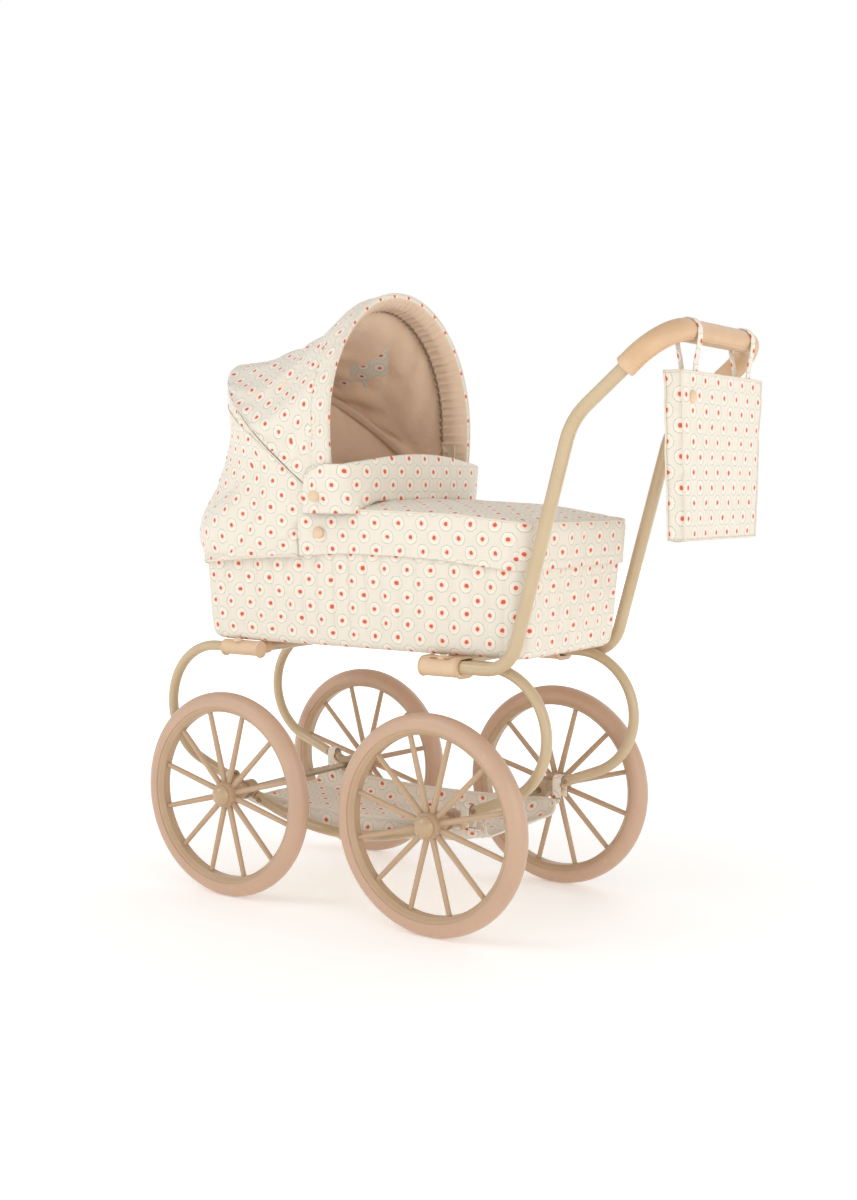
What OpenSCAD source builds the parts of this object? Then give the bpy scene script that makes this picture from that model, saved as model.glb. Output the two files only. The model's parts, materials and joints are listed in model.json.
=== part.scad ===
// Doll pram: four-wheel chassis with C-shaped tube springs, a lift-off bassinet with a folding
// hood, a snap-on apron and wind flap, a basket under the frame and a bag on the handle.
// +Z is up, the handle is at +X, the hood at -X, and the floor is z = 0.

/* [Wheels] */
// Outer diameter of each tyre
wheel_d = 200; // [180:1:220]
// Diameter of the tyre's round section
tyre_section_d = 19.2; // [16:0.2:22]
// Distance between the two axles
wheelbase = 240; // [226:1:250]
// Distance between the left and right wheel planes
track = 226; // [224:1:234]
// Spokes in each wheel
spoke_count = 12; // [8:1:16]
// Diameter of the steel axles
axle_d = 6; // [5:0.5:7]

/* [Frame] */
// Outer diameter of the C tubes and lower rails
frame_tube_d = 10; // [9:0.5:11]
// Outer diameter of the handle tube
handle_tube_d = 12; // [11:0.5:12.5]
// Wall of every tube
tube_wall = 1; // [0.8:0.1:1.5]
// Distance of the C tubes from the middle plane
frame_y = 82; // [80:1:83]
// Distance of the handle arms from the middle plane
handle_y = 95; // [94:1:97]
// Bend radius of a C tube
c_radius = 60; // [56:1:62]
// Height of the C tubes' level upper run
top_z = 240.5; // [236:0.5:244]
// Lowest point of the lower rails' middle line
rail_low_z = 71; // [66:1:76]

/* [Handle] */
// Height of the crossbar's middle line
bar_z = 525; // [500:1:550]
// Distance of the crossbar behind the wheels' middle
bar_x = 335; // [320:1:350]
// Outer diameter of the padded grip
grip_d = 19.4; // [17:0.2:22]

/* [Bassinet] */
// Underside of the bassinet
body_z = 248.3; // [248.3:0.1:252]
// Height of the bassinet's wall
body_h = 118; // [105:1:122]
// Half width at the bottom
body_w_low = 82; // [78:1:84]
// Half width at the top
body_w_top = 94; // [92:1:95]
// Distance of the handle end's bottom edge from the wheels' middle
body_back_x = 194; // [188:1:196]
// Distance of the hood end's bottom edge from the wheels' middle
body_front_x = 183; // [178:1:186]

/* [Hood] */
// Half width of the front arch
hood_w = 118; // [114:1:119]
// Height of the front arch
hood_top_z = 583; // [560:1:600]
// Front edge of the hood, in front of the wheels' middle
hood_front_x = 11; // [8:1:12]
// Depth of the front band
band_depth = 24; // [20:1:26]

/* [Basket and bag] */
// Half length of the basket
basket_l = 146; // [140:1:148]
// Half width of the basket
basket_w = 72; // [66:1:74]
// Height of the bag without its straps
bag_h = 136; // [120:1:145]
// Half width of the bag at its top edge
bag_w = 82; // [76:1:83]

/* [Hidden] */

$fn = 64;

// Colours
tube_colour = [0.77, 0.70, 0.57];
tyre_colour = [0.80, 0.67, 0.57];
wheel_colour = [0.75, 0.63, 0.51];
cap_colour = [0.78, 0.69, 0.52];
leather_colour = [0.88, 0.76, 0.63];
cloth_colour = [0.94, 0.91, 0.86];
lining_colour = [0.80, 0.66, 0.53];
steel_colour = [0.72, 0.72, 0.72];
board_colour = [0.70, 0.58, 0.42];
snap_colour = [0.91, 0.79, 0.66];

// Clearance between pieces of different bodies
gap = 0.3;

// Wheels
wheel_r = wheel_d / 2;
tyre_r = tyre_section_d / 2;
tyre_ring_r = wheel_r - tyre_r;
seat_r = tyre_ring_r - 3.9;
rim_in_r = seat_r - 5.5;
rim_half_w = 8;
axle_x = wheelbase / 2;
axle_y = track / 2;
axle_r = axle_d / 2;
run_fit = 0.05;
hub_r = 12.5;
hub_in_y = 100;
hub_out_y = 121.4;
cap_r = 10.2;
axle_end_y = hub_out_y - 1.4;

// Frame
tube_r = frame_tube_d / 2;
c_centre_x = 160.5;
c_centre_z = top_z - c_radius;
// Slope at which the lower arm leaves the arc and points at the axle
arm_offset = [c_centre_z - wheel_r, c_centre_x - axle_x];
c_slope = acos(c_radius / norm(arm_offset)) - atan2(arm_offset[1], arm_offset[0]);
arm_dir = [cos(c_slope), sin(c_slope)];
arm_start = [c_centre_x + c_radius * sin(c_slope), c_centre_z - c_radius * cos(c_slope)];
arm_len = norm(arm_start - [axle_x, wheel_r]) - 15;
tube_end_x = 103;
bracket_half_w = 6;
bracket_r = 9;
rail_rise = wheel_r - rail_low_z;
rail_r = (axle_x * axle_x + rail_rise * rail_rise) / (2 * rail_rise);
rail_centre_z = rail_low_z + rail_r;
rail_axle_angle = asin(axle_x / rail_r);
rail_end_angle = rail_axle_angle - asin(14 / rail_r);
rivet_r = 1.5;
cross_x = 112;
cross_r = 4.5;
cross_half = frame_y - tube_r;

// Handle: corner points of the side view, with the bend radius at each
handle_r = handle_tube_d / 2;
arm_low = [191, 240];
arm_high = [250, 454];
arm_top = [bar_x, bar_z];
low_bend = 32;
high_bend = 60;
bar_bend = 36;
grip_r = grip_d / 2;
grip_start = 0.58;
top_dir = (arm_top - arm_high) / norm(arm_top - arm_high);
top_angle = atan2(top_dir[1], top_dir[0]);

// Bassinet
body_top_z = body_z + body_h;
cover_t = 3;
board_t = 2.4;
lining_t = 1.6;
wall_lean = (body_w_top - body_w_low) / body_h;
back_lean = 13 / body_h;
front_lean = 6 / body_h;
back_corner = 28;
front_corner = 52;
floor_z = body_z + 8;
mattress_h = 20;
corner_steps = 6;

// Hood: the hinge line, and the plane of the rear bow
pivot_x = -12;
pivot_z = 390;
arch_z = 455;
arch_leg_in = 10;
band_t = 4.5;
bow_t = 2.5;
bow_half_w = 4;
plate_t = 3;
rear_reach = 214;
rear_angle = 39;
rear_w = 111.5;
rear_arch = 68;
skirt_t = 3;
canopy_t = 3;
hem_z = 319;
leg_z = pivot_z - 2;

// Apron and flap
apron_x = 12;
apron_skirt_x = -28;
flap_t = 3;
flap_x = 22;
flap_low_z = 388;

// Bag and basket
basket_wall = 2;
bag_top_z = 491;
bag_half_t = 8;
bag_w_low = 72;
bag_wall = 1.2;
strap_w = 8;
strap_t = 1.3;
strap_ys = [-54, 54.5];

// Everything is drawn about the wheels' middle, then moved so that the box is centred on X
back_x = bar_x + grip_r + gap + strap_t;
front_x = c_centre_x + c_radius + tube_r;
mid_x = (back_x - front_x) / 2;

// ---------------------------------------------------------------- helpers

// Moves a piece drawn about the wheels' middle into the model's frame
module place() translate([-mid_x, 0, 0]) children();

// Stands a shape drawn in the XY plane up in the XZ plane, at the given y
module upright(y = 0) translate([0, y, 0]) rotate([90, 0, 0]) children();

// A rod along Y from y0 to y1
module rod_y(r, x, z, y0, y1) translate([x, y1, z]) rotate([90, 0, 0]) cylinder(h = y1 - y0, r = r);

// A rod along X from x0 to x1
module rod_x(r, x0, x1, y, z) translate([x0, y, z]) rotate([0, 90, 0]) cylinder(h = x1 - x0, r = r);

// A straight run in the XY plane from a to b
module run(a, b, r) {
    d = b - a;
    translate([a[0], a[1], 0]) rotate([0, 0, atan2(d[1], d[0])]) rotate([0, 90, 0])
        cylinder(h = norm(d), r = r);
}

// A bend in the XY plane about a centre, from angle a0 through da degrees
module bend(centre, radius, a0, da, r)
    translate([centre[0], centre[1], 0]) rotate([0, 0, a0]) rotate_extrude(angle = da)
        translate([radius, 0]) circle(r = r);

// A bend with a hair-thin collar at each end, where it meets a straight run
collar_h = 1.2;
module joined_bend(centre, radius, a0, da, r) {
    bend(centre, radius, a0, da, r);
    for (a = [a0, a0 + da])
        translate([centre[0], centre[1], 0]) rotate([0, 0, a]) translate([radius, 0, 0])
            rotate([90, 0, 0]) cylinder(h = collar_h, r = r + 0.05, center = true);
}

function flat(lists) = [for (l = lists) for (p = l) p];
function lerp(a, b, f) = a + (b - a) * f;

// A ring of points: a rectangle with one corner radius at each end, in the plane z
function ring(x0, x1, w, r0, r1, z) = flat([
    for (c = [[x1 - r1, w - r1, r1, 0], [x0 + r0, w - r0, r0, 90],
              [x0 + r0, -w + r0, r0, 180], [x1 - r1, -w + r1, r1, 270]])
        [for (i = [0:corner_steps]) let(a = c[3] + 90 * i / corner_steps)
            [c[0] + c[2] * cos(a), c[1] + c[2] * sin(a), z]]
]);

// A closed solid through rings of points, lowest ring first
module loft(rings) {
    n = len(rings[0]);
    m = len(rings);
    sides = [for (i = [0:m - 2]) for (j = [0:n - 1]) let(k = (j + 1) % n)
        [i * n + j, (i + 1) * n + j, (i + 1) * n + k, i * n + k]];
    bottom = [for (j = [0:n - 1]) j];
    top = [for (j = [n - 1:-1:0]) (m - 1) * n + j];
    polyhedron(points = flat(rings), faces = concat([bottom, top], sides), convexity = 6);
}

// A sheet with two faces, each a grid of points, closed along its four edges
module sheet(outer, inner) {
    m = len(outer);
    n = len(outer[0]);
    o = m * n;
    out = [for (i = [0:m - 2]) for (j = [0:n - 2])
        [i * n + j, i * n + j + 1, (i + 1) * n + j + 1, (i + 1) * n + j]];
    back = [for (f = out) [f[3] + o, f[2] + o, f[1] + o, f[0] + o]];
    ends = [for (j = [0:n - 2]) for (s = [0, 1]) let(a = s * (m - 1) * n + j)
        s == 0 ? [a, a + o, a + 1 + o, a + 1] : [a, a + 1, a + 1 + o, a + o]];
    sides = [for (i = [0:m - 2]) for (s = [0, 1]) let(a = i * n + s * (n - 1))
        s == 0 ? [a, a + n, a + n + o, a + o] : [a, a + o, a + n + o, a + n]];
    polyhedron(points = concat(flat(outer), flat(inner)),
        faces = concat(out, back, ends, sides), convexity = 6);
}

// ---------------------------------------------------------------- wheels

// The tyre: a round section with a flat seat where it sits on the rim
module tyre(sx, sy) color(tyre_colour)
    upright(sy * axle_y) translate([sx * axle_x, wheel_r, 0])
        rotate_extrude($fn = 96) intersection() {
            translate([tyre_ring_r, 0]) circle(r = tyre_r, $fn = 32);
            translate([seat_r, -tyre_r]) square([tyre_section_d, tyre_section_d]);
        }

// Half section of the wheel's rim
module rim_section() polygon([
    [seat_r, -rim_half_w], [seat_r, rim_half_w], [seat_r - 2.4, rim_half_w - 0.6],
    [rim_in_r, rim_half_w - 3.6], [rim_in_r, 3.6 - rim_half_w], [seat_r - 2.4, 0.6 - rim_half_w]
]);

// Half section of the hub, with its running bore for the axle; outward is +y
module hub_section() polygon([
    [axle_r + run_fit, hub_in_y - axle_y], [hub_r - 2, hub_in_y - axle_y], [hub_r - 1.4, -10],
    [hub_r, -8], [hub_r, 6], [hub_r - 0.9, hub_out_y - axle_y], [axle_r + run_fit, hub_out_y - axle_y]
]);

// Rim, tapered spokes and hub in one moulding
module wheel(sx, sy) color(wheel_colour)
    translate([sx * axle_x, sy * axle_y, wheel_r]) {
        rotate([-90 * sy, 0, 0]) rotate_extrude($fn = 96) rim_section();
        rotate([-90 * sy, 0, 0]) rotate_extrude() hub_section();
        for (i = [0:spoke_count - 1])
            rotate([0, 360 * (i + 0.5) / spoke_count, 0]) translate([0, 0, hub_r - 0.7])
                cylinder(h = rim_in_r + 1.7 - hub_r, r1 = 2.9, r2 = 2.4, $fn = 24);
    }

// Domed cap pressed on the hub's outer face
module hub_cap(sx, sy) {
    dome_h = 5.6;
    dome_r = (cap_r * cap_r + dome_h * dome_h) / (2 * dome_h);
    color(cap_colour) translate([sx * axle_x, sy * hub_out_y, wheel_r]) rotate([-90 * sy, 0, 0])
        rotate_extrude() union() {
            square([cap_r, 1.6]);
            intersection() {
                translate([0, 1.6 + dome_h - dome_r]) circle(r = dome_r);
                translate([0, 1.6]) square([cap_r, dome_h]);
            }
        }
}

module axle(sx) color(steel_colour)
    rod_y(axle_r, sx * axle_x, wheel_r, -axle_end_y, axle_end_y);

// Spacers that keep the wheels off the brackets
module axle_spacers() color(wheel_colour)
    for (sx = [-1, 1], sy = [-1, 1])
        let(y0 = frame_y + bracket_half_w + 0.1, y1 = hub_in_y - 0.4)
        difference() {
            upright(sy * (y0 + y1) / 2) translate([sx * axle_x, wheel_r, 0])
                cylinder(h = y1 - y0, r = 7, center = true);
            upright(sy * frame_y) translate([sx * axle_x, wheel_r, 0])
                cylinder(h = 60, r = axle_r + run_fit, center = true);
        }

// ---------------------------------------------------------------- frame

// Middle line of a C tube, drawn solid with the given radius, in the side view
module c_path(r, spare = 0) {
    run([tube_end_x - spare, top_z], [c_centre_x, top_z], r);
    joined_bend([c_centre_x, c_centre_z], c_radius, c_slope - 90, 180 - c_slope, r);
    run(arm_start, arm_start - arm_dir * (arm_len + spare), r);
}

// Position of the rivet that holds a C tube on its bracket
function arm_rivet() = [axle_x, wheel_r] + 31 * arm_dir;

// Position of the rivet that holds a lower rail on its bracket
function rail_rivet() = let(a = rail_end_angle - asin(6 / rail_r))
    [rail_r * sin(a), rail_centre_z - rail_r * cos(a)];

module rivet_holes() for (p = [arm_rivet(), rail_rivet()])
    translate([p[0], p[1], 0]) cylinder(h = 40, r = rivet_r + 0.05, center = true);

module c_tube(sx, sy) color(tube_colour)
    scale_x(sx) upright(sy * frame_y) difference() {
        c_path(tube_r);
        c_path(tube_r - tube_wall, 2);
        rivet_holes();
    }

// Mirrors in X for the front pieces
module scale_x(sx) mirror([sx < 0 ? 1 : 0, 0, 0]) children();

// Axle bracket: a hub block with one spigot for the C tube and one for the rail
module bracket(sx, sy) color(tyre_colour)
    scale_x(sx) upright(sy * frame_y) difference() {
        union() {
            translate([axle_x, wheel_r, 0]) cylinder(h = 2 * bracket_half_w, r = bracket_r, center = true);
            run([axle_x, wheel_r], [axle_x, wheel_r] + 14.8 * arm_dir, tube_r - 0.2);
            run([axle_x, wheel_r], [axle_x, wheel_r] + 36 * arm_dir, tube_r - tube_wall - 0.1);
            run([axle_x, wheel_r], rail_spigot(13), tube_r - 0.2);
            run([axle_x, wheel_r], rail_spigot(25), tube_r - tube_wall - 0.6);
        }
        translate([axle_x, wheel_r, 0]) cylinder(h = 40, r = axle_r + 0.02, center = true);
        rivet_holes();
    }

// A point along the rail's direction at the axle, d from the axle
function rail_spigot(d) = [axle_x, wheel_r] - d * [cos(rail_axle_angle - 2), sin(rail_axle_angle - 2)];

module rail(sy) color(tube_colour)
    upright(sy * frame_y) difference() {
        bend([0, rail_centre_z], rail_r, 270 - rail_end_angle, 2 * rail_end_angle, tube_r);
        bend([0, rail_centre_z], rail_r, 269 - rail_end_angle, 2 * rail_end_angle + 2, tube_r - tube_wall);
        for (sx = [-1, 1]) scale_x(sx) rivet_holes();
    }

module frame_rivets() color(steel_colour)
    for (sx = [-1, 1], sy = [-1, 1], p = [arm_rivet(), rail_rivet()])
        scale_x(sx) upright(sy * frame_y) translate([p[0], p[1], 0]) {
            cylinder(h = 2 * tube_r, r = rivet_r, center = true, $fn = 24);
            for (s = [-1, 1]) translate([0, 0, s * (tube_r + 0.6)])
                cylinder(h = 1.2, r = 2.4, center = true, $fn = 24);
        }

// Front sleeve: a T fitting round the end of a C tube, with a socket for the cross bar
module sleeve_front(sy) {
    r = 7.5;
    color(leather_colour) difference() {
        union() {
            rod_x(r, -148, -tube_end_x + 1.6, sy * frame_y, top_z);
            rod_y(6.4, -cross_x, top_z, sy > 0 ? frame_y - 22 : -frame_y, sy > 0 ? frame_y : 22 - frame_y);
        }
        rod_x(tube_r + 0.05, -160, -tube_end_x, sy * frame_y, top_z);
        rod_y(cross_r + 0.05, -cross_x, top_z, -frame_y, frame_y);
    }
}

// Stadium outline through the C tube and the handle tube
module stadium(r) {
    for (y = [frame_y, handle_y]) translate([y, 0]) circle(r = r);
    translate([frame_y, -r]) square([handle_y - frame_y, 2 * r]);
}

// Rear sleeve: a band round the ends of the handle tube and the C tube
module sleeve_rear(sy) {
    r = 8.7;
    x0 = 100;
    color(leather_colour) difference() {
        union() {
            translate([x0, 0, top_z - 1.2]) rotate([90, 0, 90]) linear_extrude(42)
                mirror([sy < 0 ? 1 : 0, 0]) stadium(r);
            rod_y(6.4, cross_x, top_z, sy > 0 ? frame_y - 22 : -frame_y, sy > 0 ? frame_y : 22 - frame_y);
        }
        translate([tube_end_x, 0, top_z - 0.2]) rotate([90, 0, 90]) linear_extrude(60)
            mirror([sy < 0 ? 1 : 0, 0]) stadium(6.6);
        rod_y(cross_r + 0.05, cross_x, top_z, -frame_y, frame_y);
    }
}

module cross_bar(sx) color(tube_colour)
    rod_y(cross_r, sx * cross_x, top_z, 0.1 - cross_half, cross_half - 0.1);

// Snap buttons on the sleeves, which hold the bassinet's tabs
module sleeve_snaps() color(snap_colour)
    for (sy = [-1, 1]) {
        translate([122, sy * (handle_y + 1), top_z + 7.6]) cylinder(h = 1.8, r = 5);
        translate([-128, sy * (frame_y + 4), top_z + 7.6]) cylinder(h = 1.8, r = 4.5);
    }

// Side view of one handle arm, drawn solid with the given radius
module arm_path(r, spare = 0) {
    u0 = [1, 0];
    u1 = (arm_high - arm_low) / norm(arm_high - arm_low);
    a1 = atan2(u1[1], u1[0]);
    t0 = low_bend * tan(a1 / 2);
    turn = a1 - top_angle;
    t1 = high_bend * tan(turn / 2);
    run([tube_end_x - spare, arm_low[1]], arm_low - u0 * t0, r);
    joined_bend(arm_low - u0 * t0 + [0, low_bend], low_bend, -90, a1, r);
    run(arm_low + u1 * t0, arm_high - u1 * t1, r);
    centre = arm_high - u1 * t1 + high_bend * [cos(a1 - 90), sin(a1 - 90)];
    joined_bend(centre, high_bend, top_angle + 90, turn, r);
    run(arm_high + top_dir * t1, arm_top - top_dir * bar_bend, r);
}

// The crossbar and its two corner bends, in the sloping plane of the upper arms
module bar_path(r) {
    half = handle_y - bar_bend;
    translate([arm_top[0], 0, arm_top[1]]) rotate([0, -top_angle, 0]) {
        rotate([0, 0, 90]) rotate([0, 90, 0]) cylinder(h = 2 * half, r = r, center = true);
        for (s = [-1, 1])
            joined_bend([-bar_bend, s * half], bar_bend, s > 0 ? 0 : -90, 90, r);
    }
}

module handle_path(r, spare = 0) {
    for (s = [-1, 1]) upright(s * handle_y) arm_path(r, spare);
    bar_path(r);
}

module handle_tube() color(tube_colour) difference() {
    handle_path(handle_r);
    handle_path(handle_r - tube_wall, 2);
}

// Grip: a moulded cover round the crossbar, its corners and the top of each arm
module grip_path(r, spare = 0) {
    p0 = lerp(arm_high, arm_top, grip_start);
    for (s = [-1, 1]) upright(s * handle_y)
        run(p0 - top_dir * spare, arm_top - top_dir * bar_bend, r);
    bar_path(r);
}

module handle_grip() color(leather_colour) difference() {
    grip_path(grip_r);
    grip_path(handle_r + 0.05, 2);
}

// ---------------------------------------------------------------- basket

// Cross section of the basket at x: a trough with rounded lower corners, moved in by inset
basket_top_z = 94;
basket_sag = 15;
function basket_section(x, inset, top) = let(
        low = basket_top_z - 10 - basket_sag * cos(80 * x / basket_l) + inset,
        w = basket_w - inset - 8 * pow(abs(x) / basket_l, 6), r = 9)
    concat([[x, -w, top], [x, -w, low + r]],
        [for (a = [210:30:270]) [x, -w + r + r * cos(a), low + r + r * sin(a)]],
        [for (a = [270:30:330]) [x, w - r + r * cos(a), low + r + r * sin(a)]],
        [[x, w, low + r], [x, w, top]]);

// Shallow sling with a sagging floor, open at the top
module basket() color(cloth_colour) difference() {
    loft([for (k = [-8:8]) basket_section(basket_l * k / 8, 0, basket_top_z)]);
    loft([for (k = [-8:8]) basket_section((basket_l - basket_wall) * k / 8, basket_wall, basket_top_z + 2)]);
}

// Tabs that loop over the C tubes' lower arms, one at each corner of the basket
tab_w = 9;
tab_t = 1.4;
tab_from = 16;
tab_mid = [axle_x, wheel_r] + (tab_from + tab_w / 2) * arm_dir;
tab_in_y = frame_y - tube_r - tab_t;
tab_out_y = frame_y + tube_r + 0.1;
module tab_slab(y0, y1, z0, z1)
    translate([tab_mid[0] - tab_w / 2 + 0.6, y0, z0]) cube([tab_w - 1.2, y1 - y0, z1 - z0]);

module basket_tabs() color(cloth_colour)
    for (sx = [-1, 1], sy = [-1, 1]) scale_x(sx) mirror([0, sy < 0 ? 1 : 0, 0]) difference() {
        union() {
            upright(frame_y) run([axle_x, wheel_r] + tab_from * arm_dir,
                [axle_x, wheel_r] + (tab_from + tab_w) * arm_dir, tube_r + 0.3 + tab_t);
            tab_slab(tab_in_y, tab_in_y + tab_t, basket_top_z - 2 - tab_t, tab_mid[1]);
            tab_slab(basket_w - 5.4, tab_in_y + tab_t, basket_top_z - 2 - tab_t, basket_top_z - 2);
            tab_slab(tab_out_y, tab_out_y + tab_t, basket_top_z, tab_mid[1]);
        }
        upright(frame_y) run([axle_x, wheel_r], [axle_x, wheel_r] + 60 * arm_dir, tube_r + 0.3);
    }

module basket_snaps() color(snap_colour)
    for (sx = [-1, 1], sy = [-1, 1]) let(y0 = tab_out_y + tab_t + 0.1)
        rod_y(4, sx * tab_mid[0], basket_top_z + 4.5, sy > 0 ? y0 : -y0 - 1.8, sy > 0 ? y0 + 1.8 : -y0);

// ---------------------------------------------------------------- bassinet

// Outline of the bassinet at height z, moved in by inset
function body_ring(z, inset) = let(h = z - body_z)
    ring(-body_front_x - front_lean * h + inset, body_back_x + back_lean * h - inset,
        body_w_low + wall_lean * h - inset, front_corner - inset, back_corner - inset, z);

// A closed block of the bassinet's shape between two heights
module body_block(z0, z1, inset, round = 8) loft([
    body_ring(z0, inset + round), body_ring(z0 + round / 3, inset + round / 4),
    body_ring(z0 + round, inset), body_ring(z1, inset)
]);

module quilted_cover() color(cloth_colour) difference() {
    body_block(body_z, body_top_z, 0);
    body_block(body_z + cover_t, body_top_z + 5, cover_t);
}

module wall_board() color(board_colour) difference() {
    loft([body_ring(floor_z + 0.2, cover_t + 1.4), body_ring(floor_z + 3.5, cover_t + 0.2),
        body_ring(body_top_z - 1, cover_t + 0.2)]);
    loft([body_ring(floor_z - 1, cover_t + board_t), body_ring(body_top_z + 5, cover_t + board_t)]);
}

module base_board() color(board_colour)
    loft([body_ring(body_z + cover_t + 0.2, cover_t + 9.5), body_ring(body_z + cover_t + 2.8, cover_t + 3),
        body_ring(floor_z, cover_t + 2)]);

module lining() color(lining_colour) difference() {
    loft([body_ring(floor_z + 0.2, cover_t + board_t + 0.2),
        body_ring(body_top_z - 1, cover_t + board_t + 0.2)]);
    loft([body_ring(floor_z + lining_t, cover_t + board_t + lining_t),
        body_ring(body_top_z + 5, cover_t + board_t + lining_t)]);
}

module mattress() color(cloth_colour)
    let(z0 = floor_z + lining_t + 0.2, inset = cover_t + board_t + lining_t + 1.5)
    loft([body_ring(z0, inset + 4), body_ring(z0 + 3, inset), body_ring(z0 + mattress_h - 4, inset),
        body_ring(z0 + mattress_h - 1, inset + 2), body_ring(z0 + mattress_h, inset + 6)]);

// Outline of the apron: the bassinet's handle end, cut off in front at x0
function apron_ring(z, grow, x0 = apron_skirt_x) = let(h = min(z, body_top_z) - body_z)
    ring(x0, body_back_x + back_lean * h + grow, body_w_low + wall_lean * h + grow, 3,
        max(6, back_corner + grow), z);

// Crowned cover over the foot end, with a skirt that laps the bassinet's wall up to the hood
module apron() {
    z0 = 330;
    open_x = -90;
    color(cloth_colour) difference() {
        loft([apron_ring(z0, 3.4), apron_ring(body_top_z, 3.4), apron_ring(body_top_z + 3, 2),
            apron_ring(body_top_z + 8, -4), apron_ring(body_top_z + 13, -14),
            apron_ring(body_top_z + 17, -30), apron_ring(body_top_z + 19.5, -50)]);
        loft([apron_ring(z0 - 2, 0.4, open_x), apron_ring(body_top_z + 1, 0.4, open_x),
            apron_ring(body_top_z + 5, -7, open_x), apron_ring(body_top_z + 10, -17, open_x),
            apron_ring(body_top_z + 14, -33, open_x)]);
        translate([open_x, -hood_w, body_top_z + 0.4]) cube([apron_x - open_x, 2 * hood_w, 40]);
    }
}

// ---------------------------------------------------------------- hood

// Half width of the hood's arch at height z, for a form whose crest is at top
function arch_half(z, top, w = hood_w, leg = arch_leg_in) = z > arch_z
    ? w * sqrt(max(0, 1 - pow((z - arch_z) / (top - arch_z), 2)))
    : w - leg * pow((arch_z - z) / (arch_z - leg_z), 2);

// How much narrower and lower the band's back edge is than its front edge
flare_side = 6;
flare_foot = 2;
flare_top = 3;
function flare(z) = lerp(flare_foot, flare_side, min(1, (z - leg_z) / (arch_z - leg_z)));

// Points of the arch from the left leg over the crest to the right leg, moved in by inset;
// back runs from 0 at the band's front edge to 1 at its back edge
arch_steps = 36;
function arch(inset, back = 0) = [for (i = [0:arch_steps])
    let(a = 180 * i / arch_steps, w = hood_w - inset - back * flare_side,
        top = hood_top_z - inset - back * flare_top)
    [-w * cos(a), arch_z + (top - arch_z) * sin(a)]];
function arch_legs(inset, s, back = 0, leg = arch_leg_in) = [for (z = [leg_z:15:arch_z - 1])
    [s * (arch_half(z, hood_top_z, hood_w, leg) - inset - back * flare(z)), z]];
function reverse(l) = [for (i = [len(l) - 1:-1:0]) l[i]];
function arch_outline(inset, back = 0, leg = arch_leg_in) =
    concat(arch_legs(inset, -1, back, leg), arch(inset, back), reverse(arch_legs(inset, 1, back, leg)));

// An arch strip between two insets, standing across the pram from x0 to x1
module arch_strip(in0, in1, x0, x1, leg)
    translate([x0, 0, 0]) rotate([90, 0, 90]) linear_extrude(x1 - x0)
        polygon(concat(arch_outline(in0, 0, leg), reverse(arch_outline(in1, 0, leg))));

function band_row(inset, back) = [for (p = reverse(arch_outline(inset, back)))
    [hood_front_x - back * band_depth, p[0], p[1]]];

module front_band() color(cloth_colour)
    sheet([band_row(0, 0), band_row(0, 1)], [band_row(band_t, 0), band_row(band_t, 1)]);

// Sprung strip inside the band, with a foot that turns on the pivot
module front_bow() color(tube_colour) {
    in0 = 9.6;
    leg = 7.2;
    y0 = hood_w - leg - in0 - bow_t;
    difference() {
        union() {
            arch_strip(in0, in0 + bow_t, -bow_half_w - 4, bow_half_w - 4, leg);
            for (s = [-1, 1]) upright(s * (y0 + bow_t / 2)) hull() {
                translate([-4, leg_z + 4, 0]) cylinder(h = bow_t, r = 4, center = true, $fn = 32);
                translate([pivot_x, pivot_z, 0]) cylinder(h = bow_t, r = 7, center = true, $fn = 32);
            }
        }
        rod_y(3.05, pivot_x, pivot_z, -hood_w, hood_w);
    }
}

// Plates inside the bassinet's wall that carry the hood's pivots on a boss
plate_out_y = body_w_top - cover_t - board_t - lining_t - 4;
boss_out_y = body_w_top + 2;
module hood_plate(s) {
    z0 = 336;
    color(wheel_colour) difference() {
        union() {
            upright(s * (plate_out_y - plate_t / 2)) hull() {
                translate([pivot_x, pivot_z, 0]) cylinder(h = plate_t, r = 8, center = true, $fn = 32);
                translate([pivot_x - 9, z0, -plate_t / 2]) cube([18, 6, plate_t]);
            }
            upright(s * (plate_out_y + boss_out_y - plate_t) / 2) translate([pivot_x, pivot_z, 0])
                cylinder(h = boss_out_y - plate_out_y + plate_t, r = 6, center = true);
        }
        rod_y(3.02, pivot_x, pivot_z, -hood_w, hood_w);
    }
}

// Pins through the bows' feet and the plates
module hood_pivots() {
    y0 = plate_out_y - plate_t;
    y1 = hood_w - arch_leg_in - band_t - flare_foot - 0.3;
    color(steel_colour) for (s = [-1, 1]) {
        rod_y(3, pivot_x, pivot_z, s > 0 ? y0 : -y1, s > 0 ? y1 : -y0);
        rod_y(5, pivot_x, pivot_z, s > 0 ? y0 - 1.2 : -y0, s > 0 ? y0 : 1.2 - y0);
    }
}

// Rear bow: half width at distance u from the hinge line, and its place in space
function rear_half(u) = u > rear_arch
    ? rear_w * sqrt(max(0, 1 - pow((u - rear_arch) / (rear_reach - rear_arch), 2)))
    : rear_w - 6 * pow(1 - u / rear_arch, 2);
function rear_point(u, y) = [pivot_x - u * cos(rear_angle), y, pivot_z + u * sin(rear_angle)];

// Part of each bow's curve that runs over the crown; the rest is its legs
crown_part = 0.36;
// Curve of the rear bow from the left foot (t = 0) over the back (t = 0.5) to the right foot
function rear_curve(t, inset = 0) = let(
        f = abs(2 * t - 1), s = t < 0.5 ? -1 : 1, b = 90 * (crown_part - f) / crown_part,
        u = f > crown_part ? rear_arch * (1 - f) / (1 - crown_part)
            : rear_arch + (rear_reach - inset - rear_arch) * sin(b),
        y = f > crown_part ? rear_half(u) - inset : (rear_w - inset) * cos(b))
    rear_point(max(u, 0.5), s * y);

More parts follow.
